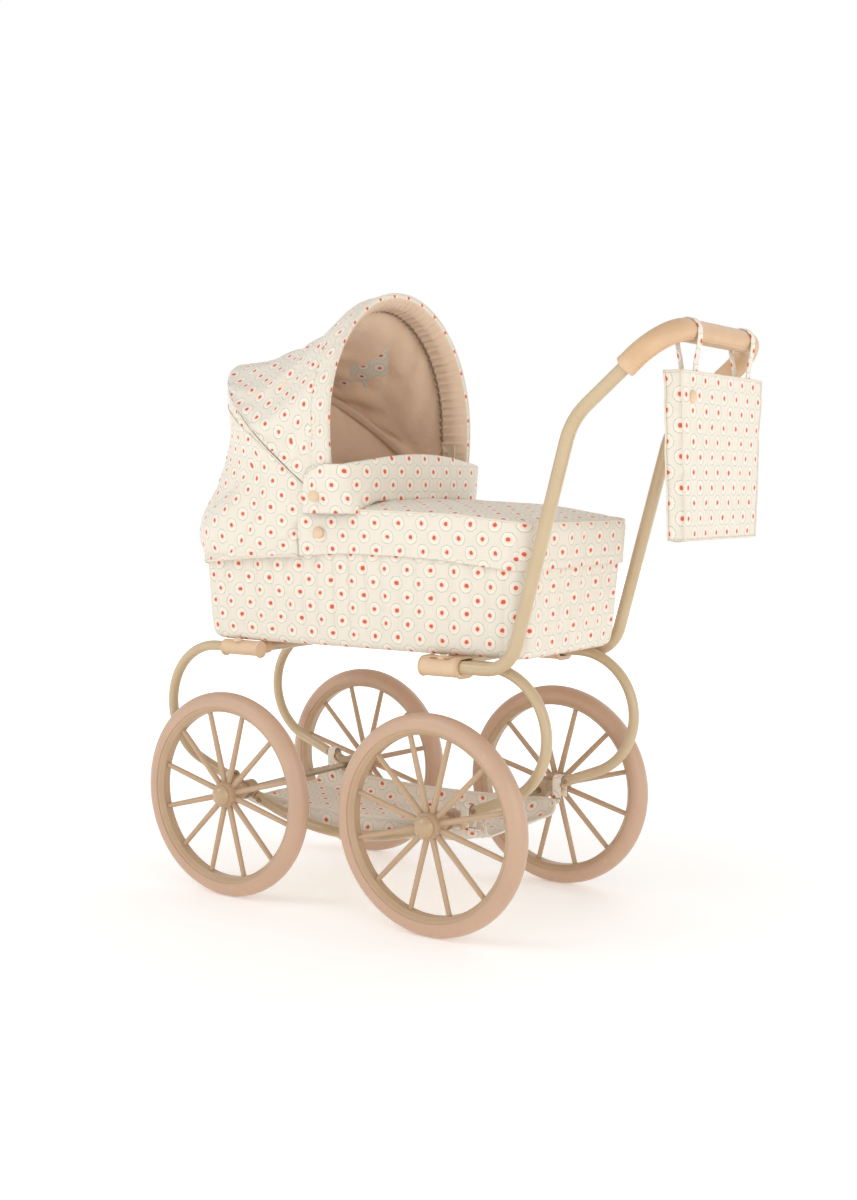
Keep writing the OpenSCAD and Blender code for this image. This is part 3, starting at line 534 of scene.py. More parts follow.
def weave_bump(nodes, place, thread=0.45, crinkle=0.5):
    """Threads of a plain weave over the fine crinkles of washed cotton."""
    separate = nodes.add("ShaderNodeSeparateXYZ", {0: place})
    warp = nodes.math("SINE", nodes.math("MULTIPLY", separate.outputs[0], 2 * math.pi / thread))
    weft = nodes.math("SINE", nodes.math("MULTIPLY", separate.outputs[1], 2 * math.pi / thread))
    threads = nodes.bump(nodes.math("MULTIPLY", warp, weft), 0.05, 0.35)
    fine = nodes.bump(nodes.noise(place, 0.32, 3.0), crinkle, 0.55, threads)
    return nodes.bump(nodes.noise(place, 0.09, 2.0), crinkle * 1.8, 0.45, fine)


def printed_cloth(name="printed_cotton", crinkle=0.55):
    """Cream cotton with staggered coral dots, each in a peach halo and a fine dotted ring."""
    nodes = Nodes(name, 0.88, Sheen_Weight=0.12, Sheen_Roughness=0.5)
    place = cloth_place(nodes)
    wobble = nodes.vector("SUBTRACT", nodes.noise(place, 0.35, 1.0).outputs["Color"], (0.5, 0.5, 0.5))
    wobble = nodes.vector("MULTIPLY", wobble, (1.6, 1.6, 0))
    drawn = nodes.vector("ADD", place, wobble)
    half = PRINT_CELL / 2
    cells = []
    for offset in (0, half):
        moved = nodes.vector("ADD", drawn, (offset, offset, 0))
        cells.append(nodes.vector("WRAP", moved, (half, half, 1), (-half, -half, -1)))
    radii = [nodes.vector("LENGTH", cell).outputs["Value"] for cell in cells]
    radius = nodes.math("MINIMUM", radii[0], radii[1])
    nearer = nodes.math("LESS_THAN", radii[1], radii[0])
    chosen = nodes.add("ShaderNodeMix", data_type="VECTOR")
    nodes.put(chosen.inputs[0], nearer)
    nodes.put(chosen.inputs[4], cells[0])
    nodes.put(chosen.inputs[5], cells[1])
    parts = nodes.add("ShaderNodeSeparateXYZ", {0: chosen.outputs[1]})
    angle = nodes.math("ARCTAN2", parts.outputs[1], parts.outputs[0])
    beads = nodes.math("SINE", nodes.math("MULTIPLY", angle, 21.0))
    beads = nodes.math("MULTIPLY_ADD", beads, 0.5, 0.62)

    def band(inner, outer, soft):
        return nodes.math("MULTIPLY", nodes.remap(radius, inner - soft, inner + soft),
                          nodes.remap(radius, outer - soft, outer + soft, 1.0, 0.0))

    ground = nodes.mix(nodes.noise(place, 0.05, 3.0), srgb(232, 224, 210), srgb(224, 215, 200))
    disc = nodes.mix(band(-9, 6.0, 0.4), ground, srgb(236, 228, 215))
    halo = nodes.mix(nodes.math("MULTIPLY", band(-9, 3.4, 0.9), 0.6), disc, srgb(246, 206, 180))
    ring = nodes.math("MULTIPLY", nodes.math("MULTIPLY", band(5.9, 6.6, 0.25), beads), 0.9)
    ringed = nodes.mix(ring, halo, srgb(146, 168, 154))
    dot = nodes.mix(nodes.noise(place, 0.6, 1.0), srgb(196, 72, 58), srgb(222, 104, 76))
    dotted = nodes.mix(band(-9, 1.95, 0.28), ringed, dot)
    return nodes.finish(dotted, weave_bump(nodes, place, crinkle=crinkle))


def plain_cloth(name, colour, darker, crinkle=0.6, sheen=0.1):
    """Plain woven cotton with a little unevenness."""
    nodes = Nodes(name, 0.85, Sheen_Weight=sheen, Sheen_Roughness=0.4)
    place = cloth_place(nodes)
    mottle = nodes.noise(place, 0.04, 4.0)
    slubs = nodes.noise(nodes.vector("MULTIPLY", place, (0.25, 3.0, 1.0)), 0.8, 2.0)
    blend = nodes.math("MULTIPLY_ADD", mottle, 0.7, nodes.math("MULTIPLY", slubs, 0.3))
    shade = nodes.mix(blend, darker, colour)
    return nodes.finish(shade, weave_bump(nodes, place, crinkle=crinkle))


def leather(name, colour, darker, roughness=0.5):
    """Smooth coated leather: a fine pebble grain, faint creases and worn, lighter edges."""
    nodes = Nodes(name, roughness, Coat_Weight=0.08, Coat_Roughness=0.35)
    place = object_place(nodes)
    pebbles = nodes.add("ShaderNodeTexVoronoi", {"Scale": 1.1}, feature="SMOOTH_F1")
    nodes.put(pebbles.inputs["Vector"], place)
    mottle = nodes.noise(place, 0.05, 3.0)
    shade = nodes.mix(mottle, darker, colour)
    edge = nodes.add("ShaderNodeNewGeometry").outputs["Pointiness"]
    shade = nodes.mix(nodes.remap(edge, 0.52, 0.6, 0.0, 0.35), shade, srgb(240, 215, 185))
    grain = nodes.bump(pebbles.outputs[0], 0.12, 0.35)
    creased = nodes.bump(nodes.noise(place, 0.22, 3.0), 0.4, 0.25, grain)
    rough = nodes.uneven(place, 0.3, 2.0, 0.2, roughness - 0.1)
    return nodes.finish(shade, creased, rough)


def painted_metal(name, colour, darker):
    """Satin paint on steel tube: faint orange peel and a slightly thinner coat in places."""
    nodes = Nodes(name, 0.33, Coat_Weight=0.6, Coat_Roughness=0.12)
    place = object_place(nodes)
    shade = nodes.mix(nodes.noise(place, 0.03, 3.0), darker, colour)
    peel = nodes.bump(nodes.noise(place, 0.9, 2.0), 0.06, 0.25)
    rough = nodes.uneven(place, 0.08, 3.0, 0.14, 0.27)
    return nodes.finish(shade, peel, rough)


def moulded_plastic(name, colour, darker, roughness=0.42, coat=0.0):
    """Moulded plastic with flow marks and a very fine texture."""
    nodes = Nodes(name, roughness, Coat_Weight=coat, Coat_Roughness=0.12)
    place = object_place(nodes)
    flow = nodes.noise(nodes.vector("MULTIPLY", place, (1.0, 0.35, 1.0)), 0.04, 3.0)
    shade = nodes.mix(flow, darker, colour)
    texture = nodes.bump(nodes.noise(place, 2.2, 2.0), 0.04, 0.3)
    rough = nodes.uneven(place, 0.15, 2.0, 0.12, roughness - 0.06)
    return nodes.finish(shade, texture, rough)


def tyre_rubber():
    """Soft matte tyre with a powdery bloom and faint scuffs."""
    nodes = Nodes("tyre_rubber", 0.42, Coat_Weight=0.25, Coat_Roughness=0.3)
    place = object_place(nodes)
    shade = nodes.mix(nodes.noise(place, 0.02, 4.0), srgb(188, 153, 128), srgb(202, 168, 141))
    scuff = nodes.noise(nodes.vector("MULTIPLY", place, (1.0, 6.0, 1.0)), 0.12, 5.0)
    shade = nodes.mix(nodes.remap(scuff, 0.62, 0.75, 0.0, 0.25), shade, srgb(216, 186, 164))
    texture = nodes.bump(nodes.noise(place, 1.4, 3.0), 0.06, 0.3)
    rough = nodes.uneven(place, 0.2, 2.0, 0.14, 0.32)
    return nodes.finish(shade, texture, rough)


def brushed_steel():
    """Warm steel with fine streaks along Y."""
    nodes = Nodes("brushed_steel", 0.35, Metallic=1.0)
    place = object_place(nodes)
    streaks = nodes.noise(nodes.vector("MULTIPLY", place, (4.0, 0.3, 4.0)), 1.0, 3.0)
    shade = nodes.mix(streaks, srgb(150, 134, 112), srgb(202, 186, 162))
    return nodes.finish(shade, nodes.bump(streaks, 0.04, 0.3),
                        nodes.math("MULTIPLY_ADD", streaks, 0.2, 0.25))


def fibre_board():
    """Pressed fibre board, speckled and a little rough."""
    nodes = Nodes("fibre_board", 0.85)
    place = object_place(nodes)
    shade = nodes.mix(nodes.noise(place, 0.5, 4.0), srgb(160, 132, 98), srgb(190, 162, 126))
    return nodes.finish(shade, nodes.bump(nodes.noise(place, 1.0, 4.0), 0.15, 0.5))


printed = printed_cloth()
binding = plain_cloth("cream_binding", srgb(230, 221, 206), srgb(216, 206, 188), 0.3)
# Tan cotton, partly its own colour and partly painted light: made lighter than the facing to make up for the
# shade inside the hood.
lining_cloth_lightened = plain_cloth("tan_lining_lightened", srgb(246, 219, 192), srgb(236, 206, 178), 0.5, 0.2)
facing_cloth = plain_cloth("tan_facing", srgb(232, 206, 180), srgb(216, 188, 162), 0.5, 0.2)
# Painted shadow: dark cloth for the strip that stands in for the shade in the recess behind the hood's facing.
recess_shadow_cloth = plain_cloth("painted_recess_shadow", srgb(150, 122, 100), srgb(128, 102, 84), 0.4)
mattress_cloth = plain_cloth("mattress_cotton", srgb(240, 232, 218), srgb(228, 218, 202), 0.5)
thread = plain_cloth("thread", srgb(236, 226, 208), srgb(220, 208, 188), 0.1)
tan_thread = plain_cloth("tan_thread", srgb(200, 164, 128), srgb(180, 144, 110), 0.1)
sleeve_leather = leather("sleeve_leather", srgb(208, 174, 138), srgb(194, 158, 122))
grip_leather = leather("grip_leather", srgb(214, 178, 140), srgb(198, 162, 124), 0.46)
tube_paint = painted_metal("khaki_paint", srgb(200, 177, 141), srgb(186, 162, 126))
bracket_plastic = moulded_plastic("bracket_plastic", srgb(186, 160, 132), srgb(168, 142, 114))
wheel_plastic = moulded_plastic("wheel_plastic", srgb(194, 164, 132), srgb(180, 150, 120), 0.38, 0.1)
cap_plastic = moulded_plastic("cap_plastic", srgb(192, 163, 126), srgb(180, 150, 114), 0.22, 0.5)
snap_plastic = moulded_plastic("snap_plastic", srgb(226, 198, 164), srgb(218, 188, 152), 0.32, 0.3)
bow_plastic = moulded_plastic("bow_plastic", srgb(222, 206, 180), srgb(208, 190, 164))
rubber = tyre_rubber()
steel = brushed_steel()
board = fibre_board()

SLOT_MATERIALS = {
    "tyre": rubber, "wheel": wheel_plastic, "hub_cap": cap_plastic, "steel": steel, "bracket": bracket_plastic,
    "tube": tube_paint, "leather": sleeve_leather, "grip": grip_leather, "snap": snap_plastic, "board": board,
    "lining": lining_cloth_lightened, "mattress": mattress_cloth, "bow": bow_plastic, "cloth": printed,
}
for part in frame["record"]["subparts"]:
    node_object = frame["nodes"][part["node"]]
    for k in range(len(node_object.data.materials)):
        node_object.data.materials[k] = SLOT_MATERIALS[part["material_slot"]]


def settle_on(piece, body, slot, *nodes):
    """A finished piece rides on a body and stands for CAD nodes, which it hides; slot is not used."""
    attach(piece, body)
    if nodes:
        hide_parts(*nodes)
    return piece


def strip(name, path, normals, section, material, body, slot, closed=False):
    """A strip or cord of a given section, swept along a path and riding on a body."""
    rings = section_rings(path, normals, section, closed)
    return settle_on(swept(name, rings, [material], closed=closed), body, slot)


def sew(name, path, normals, body):
    """A row of cream stitches riding on a body."""
    return settle_on(stitches(name, path, normals, thread), body, "cloth")


# ---------------------------------------------------------------- bassinet


def outline(t, front, back, half_w, front_r, back_r):
    """Points and outward directions on a rounded rectangle. t runs from 0 to 1, from the hood end's middle
    along the left side, with the same share on each stretch whatever the size."""
    w, fr, br = half_w, front_r, back_r
    stretches = [
        ((front, 0), (front, fr - w)), ((front + fr, fr - w), fr, 180), ((front + fr, -w), (back - br, -w)),
        ((back - br, br - w), br, 270), ((back, br - w), (back, w - br)), ((back - br, w - br), br, 0),
        ((back - br, w), (front + fr, w)), ((front + fr, w - fr), fr, 90), ((front, w - fr), (front, 0)),
    ]
    ends = np.cumsum(STRETCHES) / sum(STRETCHES)
    starts = np.concatenate([[0], ends[:-1]])
    t = np.asarray(t, float)
    k = np.clip(np.searchsorted(ends, t, side="left"), 0, 8)
    f = (t - starts[k]) / (ends[k] - starts[k])
    xy, out = np.zeros(t.shape + (2,)), np.zeros(t.shape + (2,))
    for number, stretch in enumerate(stretches):
        mask = k == number
        if len(stretch) == 2:
            a, b = np.array(stretch[0], float), np.array(stretch[1], float)
            xy[mask] = a + (b - a) * f[mask, None]
            d = (b - a) / np.linalg.norm(b - a)
            out[mask] = (d[1], -d[0])
        else:
            centre, r, start = stretch
            a = np.radians(start + 90 * f[mask])
            out[mask] = np.stack([np.cos(a), np.sin(a)], axis=-1)
            xy[mask] = np.array(centre) + r * out[mask]
    return xy, out


MID_W = TOP_W - LEAN_W / 2
STRETCHES = [MID_W - FRONT_R, FRONT_R * math.pi / 2,
             TOP_BACK - TOP_FRONT - (LEAN_BACK + LEAN_FRONT) / 2 - FRONT_R - BACK_R,
             BACK_R * math.pi / 2, 2 * (MID_W - BACK_R), BACK_R * math.pi / 2,
             TOP_BACK - TOP_FRONT - (LEAN_BACK + LEAN_FRONT) / 2 - FRONT_R - BACK_R,
             FRONT_R * math.pi / 2, MID_W - FRONT_R]
PERIMETER = sum(STRETCHES)
PRINT_ROUND = PRINT_CELL * round(PERIMETER / PRINT_CELL)


def wall(t, z, grow=0.0):
    """Points and outward directions on the bassinet's wall at height z, grown outwards."""
    down = min(max((body_high[2] - z) / BODY_H, 0), 1)
    return outline(t, TOP_FRONT + LEAN_FRONT * down - grow, TOP_BACK - LEAN_BACK * down + grow,
                   TOP_W - LEAN_W * down + grow, FRONT_R + grow, BACK_R + grow)


def at_height(xy, z):
    """Points in the plane, lifted to a height, or each to its own."""
    return np.column_stack([xy, np.broadcast_to(z, len(xy))])


def side_t(x):
    """The outline's t at a place x along the left side."""
    start = STRETCHES[0] + STRETCHES[1]
    front = TOP_FRONT + LEAN_FRONT / 2 + FRONT_R
    return (start + x - front) / PERIMETER


DOT_X, DOT_Z, LINE_X = 41.2, 311.4, 30.2


def bassinet_side():
    """Quilted wall with upright sewn channels, and its rounded bottom edge."""
    columns = 54 * 16
    t = np.arange(columns) / columns
    bottom_r = 8
    levels = [(body_low[2] + bottom_r * (1 - math.cos(a)), bottom_r * (1 - math.sin(a)))
              for a in np.radians(np.linspace(-20, 90, 9))]
    levels += [(z, 0) for z in np.linspace(body_low[2] + bottom_r + 2.5, body_high[2], 40)]
    rows = []
    run = t * PRINT_ROUND
    line = side_t(LINE_X) * PRINT_ROUND
    for z, inset in levels:
        xy, out = wall(t, z, -inset)
        phase = np.abs(np.sin(math.pi * (run - line) / CHANNEL))
        near_bottom = min(1, max(0, (z - body_low[2] - 3) / 14))
        puff = (2.7 * phase ** 0.45 - 1.9) * near_bottom
        spot = np.stack([run * 0.22, np.full(columns, z), run * 0], axis=1)
        pucker = 0.8 * (1 - phase) * lumps(spot, 4.5, 1) * near_bottom
        slow = 0.8 * lumps(at_height(xy, z), 34, 2) * near_bottom
        xy = xy + out * (puff + pucker + slow)[:, None]
        rows.append(at_height(xy, z))
    rows = np.array(rows)
    u = np.append(run, PRINT_ROUND) - side_t(DOT_X) * PRINT_ROUND
    heights = np.array([z for z, _ in levels]) - DOT_Z
    uv = np.stack(np.meshgrid(u, heights), axis=2)
    piece = sheet_grid("bassinet_quilting", rows, uv, [printed, lining_cloth_lightened], closed=True)
    thicken(piece, 2.2, 1)
    settle_on(piece, "bassinet", "cloth", "quilted_cover")


def plan_uv(rows):
    """The uv of a closed grid, as seen from above."""
    return np.concatenate([rows, rows[:, :1]], axis=1)[:, :, :2]


SPINE_INSET = 55


def filled(name, border, height, material, levels=14, flip=False):
    """A crowned panel inside a closed border of points; height gives z at each place and share inwards."""
    x = border[:, 0]
    spine = np.stack([np.clip(x, x.min() + SPINE_INSET, x.max() - SPINE_INSET), 0 * x], axis=1)
    rows = []
    for share in np.linspace(0, 1, levels):
        xy = lerp(border[:, :2], spine, share)
        rows.append(at_height(xy, height(xy, share)))
    rows = np.array(rows)
    return sheet_grid(name, rows, plan_uv(rows), [material], closed=True, flip=flip, weld=True)


def bassinet_bottom():
    """Lining-cloth bottom panel, with a bound seam round it."""
    t = np.arange(240) / 240
    z0 = body_low[2]
    xy, _ = wall(t, z0, -6.0)
    border = at_height(xy, z0 + 0.6)

    def height(place, share):
        return z0 + 0.8 + 0.3 * lumps(at_height(place, 0), 22, 3) * min(1, 4 * share)

    panel = filled("bassinet_bottom", border, height, facing_cloth)
    thicken(panel, -1.2)
    settle_on(panel, "bassinet", "lining")
    strip("bottom_binding", border + 0.3 * UP, np.tile(-UP, (240, 1)), circle(1.0), binding,
          "bassinet", "cloth", closed=True)


def bassinet_lining():
    """Inner wall in tan cotton, slightly gathered along its top edge."""
    columns = 360
    t = np.arange(columns) / columns
    rows = []
    levels = np.linspace(node_box("lining")[0][2] + 1, body_high[2] - 1.5, 20)
    for z in levels:
        f = (z - levels[0]) / (levels[-1] - levels[0])
        xy, out = wall(t, z, -6.8 - 5 * (1 - f))
        gather = 0.5 * f ** 2 * np.sin(2 * math.pi * t * 95 + 1.5 * np.sin(17 * t))
        xy = xy + out * (gather + 0.6 * lumps(at_height(xy, z), 26, 4))[:, None]
        rows.append(at_height(xy, z))
    rows = np.array(rows)
    uv = np.stack(np.meshgrid(np.append(t, 1) * PERIMETER, levels), axis=2)
    piece = sheet_grid("bassinet_lining", rows, uv, [lining_cloth_lightened], closed=True, flip=True)
    thicken(piece, 1.0)
    settle_on(piece, "bassinet", "lining", "lining")
    rim = at_height(wall(t, body_high[2], -4.2)[0], body_high[2] - 0.6)
    strip("bassinet_rim", rim, np.tile(UP, (columns, 1)), strip_section(1.8, 6.4, 0.8), facing_cloth,
          "bassinet", "lining", closed=True)


def mattress():
    """Padded mattress: crowned by code, with tufted rows and a corded edge."""
    low, high = node_box("mattress")
    t = np.arange(200) / 200
    mid = (low[2] + high[2]) / 2
    half = (high[2] - low[2]) / 2
    xy, out = wall(t, mid, -8.8)
    border = at_height(xy, mid)
    parts = []
    for sign in (1, -1):
        def height(place, share, sign=sign):
            swell = (half - 1.0) * min(1.0, share * 7) ** 0.5
            tuft = np.abs(np.sin(math.pi * place[:, 0] / 40) * np.sin(math.pi * place[:, 1] / 36)) ** 0.5
            dip = 2.2 * (1 - tuft) * min(1, 3 * share) if sign > 0 else 0
            return mid + sign * (swell - dip) + 0 * place[:, 0]
        parts.append(filled(f"mattress_{'top' if sign > 0 else 'base'}", border, height, mattress_cloth,
                            levels=24, flip=sign < 0))
    piece = join(parts, "mattress_pad")
    clean(piece)
    settle_on(piece, "bassinet", "mattress", "mattress")
    strip("mattress_cording", border, at_height(out, 0), circle(1.3), binding, "bassinet", "mattress",
          closed=True)


def join(objects, name):
    """One object from several."""
    bpy.ops.object.select_all(action="DESELECT")
    for o in objects:
        o.select_set(True)
    bpy.context.view_layer.objects.active = objects[0]
    bpy.ops.object.join()
    objects[0].name = name
    objects[0].data.name = name
    return objects[0]


# ---------------------------------------------------------------- apron and wind flap

APRON_GROW = 3.2
TAB_X = -37
TOP_FROM_X = 14
HEM_CURVE = ([-60, 15, 71, 126, 178, 200, 230], [333, 337, 336, 333, 327.6, 326, 329])
EDGE_CURVE = ([-60, -20, 20, 68, 133, 185, 215], [373, 374.5, 377, 376, 374, 369, 366])
CROWN_CURVE = ([0, 25, 54, 99, 150, 185, 215], [388, 388, 387.5, 386, 383.5, 379, 368])


def apron_path(x_from, columns):
    """t along the wall from x_from on the left side, round the handle end, to x_from on the right side."""
    return np.linspace(side_t(x_from), 1 - side_t(x_from), columns)


def apron():
    """Snap-on cover: a crowned, lightly padded top, a skirt that hangs over the wall, and a corded seam."""
    columns = 420
    t = apron_path(TAB_X, columns)
    rows, count = [], 30
    for f in np.linspace(0, 1, count):
        along_x = wall(t, 345.0, APRON_GROW)[0][:, 0]
        hem = np.interp(along_x, *HEM_CURVE)
        z = lerp(hem, np.interp(along_x, *EDGE_CURVE), f)
        xy, out = wall(t, 352.0, APRON_GROW)
        lean = (z - 352) * 0.1
        run = t * PERIMETER
        spot = np.stack([run, z * 0.35, run * 0], axis=1)
        fold = 1.5 * lumps(spot, 30, 5) + 0.7 * lumps(spot, 11, 6)
        valley = np.exp(-((np.abs(t - 0.5) * PERIMETER - 92) / 6.5) ** 2)
        valley = -3.2 * valley * math.sin(math.pi * min(1, f + 0.15))
        stitch = -0.5 * math.exp(-(((z - hem).mean() - 9) / 1.2) ** 2)
        roll = -1.8 * max(0, f - 0.86) / 0.14
        flare = 1.0 * (1 - f)
        over_hem = 5 * np.clip((-12 - xy[:, 0]) / 14, 0, 1)
        xy = xy + out * (lean + fold + valley + stitch + roll + flare + over_hem)[:, None]
        rows.append(at_height(xy, z))
    rows = np.array(rows)
    uv = np.stack([np.broadcast_to(t * PRINT_ROUND - side_t(DOT_X) * PRINT_ROUND + 6, rows.shape[:2]),
                   rows[:, :, 2] - DOT_Z + 8], axis=2)
    skirt = sheet_grid("apron_skirt", rows, uv, [printed, lining_cloth_lightened])
    thicken(skirt, 1.8, 1)
    settle_on(skirt, "bassinet", "cloth")

    keep = np.abs(t - 0.5) <= 0.5 - side_t(TOP_FROM_X)
    rim = rows[-1][keep]
    spine_x = np.clip(rim[:, 0], TOP_FROM_X, TOP_BACK - 62)
    grid = []
    for share in np.linspace(0, 1, 34):
        xy = lerp(rim[:, :2], np.column_stack([spine_x, np.zeros(len(rim))]), share)
        crown = np.interp(xy[:, 0], *CROWN_CURVE)
        base = np.interp(rim[:, 0], *EDGE_CURVE)
        rise = math.sin(math.pi / 2 * share) ** 0.62
        spot = at_height(xy, 0)
        quilt = (1.3 * lumps(spot, 32, 7) + 0.7 * lumps(spot, 13, 8)) * min(1, 6 * share)
        z = lerp(base, np.maximum(crown, base), rise) + quilt - 0.4
        grid.append(at_height(xy, z))
    grid = np.array(grid)
    top = sheet_grid("apron_top", grid, grid[:, :, :2] + np.array([6, 4]), [printed, lining_cloth_lightened])
    m, n = grid.shape[:2]
    drape(top, grid_edges(m, n, "flr"), frames=16, pressure=0.6, grow=0.01, cap=2.0)
    clean(top)
    thicken(top, 1.8, 1)
    settle_on(top, "bassinet", "cloth", "apron")
    strip("apron_piping", rim + 0.2 * UP, np.tile(UP, (len(rim), 1)), circle(1.1), binding,
          "bassinet", "cloth")
    hem_row = rows[6]
    normals = surface_normals(rows)[6]
    normals = normals * np.sign((normals * hem_row * [1, 1, 0]).sum(axis=1, keepdims=True))
    sew("apron_hem_stitches", hem_row, normals, "bassinet")


FLAP_TAB_X = -26
FLAP_BOW = 8


def arch_half(z):
    """Half width of the hood's front arch at height z."""
    z = np.asarray(z, float)
    upper = HOOD_W * np.sqrt(np.clip(1 - ((z - ARCH_Z) / (HOOD_TOP - ARCH_Z)) ** 2, 0, 1))
    lower = HOOD_W - LEG_IN * ((ARCH_Z - z) / (ARCH_Z - LEG_Z)) ** 2
    return np.where(z > ARCH_Z, upper, lower)


def flap_line():
    """Middle line of the wind flap in plan, from the left tab round the front to the right tab."""
    w = HOOD_W - 0.5
    corner = 13
    front_x = 34
    left = [(x, -w) for x in np.linspace(FLAP_TAB_X, front_x - FLAP_BOW - corner, 10)]
    centre = (front_x - FLAP_BOW - corner, corner - w)
    turn = [(centre[0] + corner * math.sin(a), centre[1] - corner * math.cos(a))
            for a in np.radians(np.linspace(8, 76, 8))]
    y_end = turn[-1][1]
    bow = [(turn[-1][0] + FLAP_BOW * math.cos(math.pi / 2 * y / y_end) ** 0.8, y)
           for y in np.linspace(y_end * 0.98, 0, 14)]
    half = left + turn + bow
    return np.array(half + [(x, -y) for x, y in half[-2::-1]])


def wind_flap():
    """Padded panel across the hood's mouth, with a tab on each side that snaps on the bassinet."""
    columns = 240
    plan = polyline(flap_line(), columns)
    flat = directions(np.column_stack([plan, np.zeros(columns)]))
    out = np.stack([flat[:, 1], -flat[:, 0]], axis=1)
    f = np.abs(np.linspace(-1, 1, columns))
    side = np.clip((f - 0.60) / 0.1, 0, 1)
    tab = np.clip((f - 0.80) / 0.2, 0, 1)
    top = lerp(419 + 8.5 * np.cos(math.pi / 2 * np.clip(f / 0.6, 0, 1)), 417 - 11 * tab ** 1.4, ease(side))
    low = lerp(385.5, 374, ease(np.clip((f - 0.42) / 0.2, 0, 1)))
    run = np.linspace(-1, 1, columns) * 0.5 * lengths(plan)[-1]
    half_t = lerp(2.6, 1.5, ease(side))
    steps = 12
    section = [(1, k / steps) for k in range(steps + 1)]
    section += [(math.cos(a), 1 + 0.055 * math.sin(a)) for a in np.radians(np.linspace(20, 160, 6))]
    section += [(-1, 1 - k / steps) for k in range(steps + 1)]
    rings = []
    for c in range(columns):
        ring = []
        for side_sign, up in section:
            z = lerp(low[c], top[c], min(up, 1)) + max(0, up - 1) * 40
            lean = arch_half(np.clip(z, 382, ARCH_Z)) - arch_half(416)
            spot = np.array([run[c], z * 0.6, 0])
            bulge = 1.6 * math.sin(math.pi * min(up, 1)) * (1 if side_sign > 0 else 0.6) * (1 - 0.6 * side[c])
            rough = 0.9 * lumps(spot, 17, 9) + 0.5 * lumps(spot, 7, 10)
            d = side_sign * (half_t[c] + bulge) + (rough if side_sign > 0 else -rough * 0.6)
            shift = lean * (-1 if plan[c, 1] < 0 else 1)
            ring.append((plan[c, 0] + out[c, 0] * d + 8 * tab[c] * min(up, 1),
                         plan[c, 1] + out[c, 1] * d + shift * side[c], z))
        rings.append(ring)
    rings = np.array(rings)
    v = np.concatenate([rings[:, :, 2], rings[:, :1, 2]], axis=1)
    uv = np.stack([np.broadcast_to(run[:, None], v.shape), v], axis=2)
    piece = swept("wind_flap_pad", rings, [printed], uv=uv)
    settle_on(piece, "bassinet", "cloth", "wind_flap")
    sew("flap_top_stitches", rings[6:-6, 10], at_height(out, 0)[6:-6], "bassinet")


# ---------------------------------------------------------------- hood


def arch_line(t, inset=0.0, back=0.0):
    """Points (y, z) and outward directions of the hood's arch, t from 0 at the left foot to 1 at the right.
    back is 0 at the band's front edge and 1 at its back edge, where the arch is narrower."""
    t = np.asarray(t, float)
    leg = 0.13
    sign = np.where(t < 0.5, -1.0, 1.0)
    f = np.minimum(t, 1 - t)
    z_leg = LEG_Z + (ARCH_Z - LEG_Z) * f / leg
    a = math.pi / 2 * np.clip((f - leg) / (0.5 - leg), 0, 1)
    w, h = HOOD_W, HOOD_TOP - ARCH_Z
    y = np.where(f < leg, arch_half(np.minimum(z_leg, ARCH_Z)), w * np.cos(a))
    z = np.where(f < leg, z_leg, ARCH_Z + h * np.sin(a))
    slope = 2 * LEG_IN * (ARCH_Z - np.minimum(z_leg, ARCH_Z)) / (ARCH_Z - LEG_Z) ** 2
    ny = np.where(f < leg, 1, h * np.cos(a))
    nz = np.where(f < leg, -slope, w * np.sin(a))
    size = np.hypot(ny, nz)
    ny, nz = sign * ny / size, nz / size
    inset = inset + back * np.where(f < leg, lerp(FLARE_FOOT, FLARE_SIDE, np.clip(f / leg, 0, 1)),
                                    lerp(FLARE_SIDE, FLARE_TOP, np.sin(a)))
    return sign * y - ny * inset, z - nz * inset, ny, nz


def rear_line(t, inset=0.0):
    """Points of the rear bow's curve, t from 0 at the left foot to 1 at the right."""
    t = np.asarray(t, float)
    f = np.abs(2 * t - 1)
    sign = np.where(t < 0.5, -1.0, 1.0)
    b = np.radians(90 * np.clip(CROWN_PART - f, 0, 1) / CROWN_PART)
    u_leg = REAR_ARCH * (1 - f) / (1 - CROWN_PART)
    y_leg = REAR_W - REAR_DROP * (1 - u_leg / REAR_ARCH) ** 2 - inset
    u = np.where(f > CROWN_PART, u_leg, REAR_ARCH + (REAR_REACH - inset - REAR_ARCH) * np.sin(b))
    y = np.where(f > CROWN_PART, y_leg, (REAR_W - inset) * np.cos(b))
    return np.stack([PIVOT[0] - u * math.cos(REAR_ANGLE), sign * y,
                     PIVOT[2] + u * math.sin(REAR_ANGLE)], axis=-1)


REAR_OUT = np.array([math.sin(REAR_ANGLE), 0, math.cos(REAR_ANGLE)])


FACING_IN = 6.2
RUFFLE = 8.6


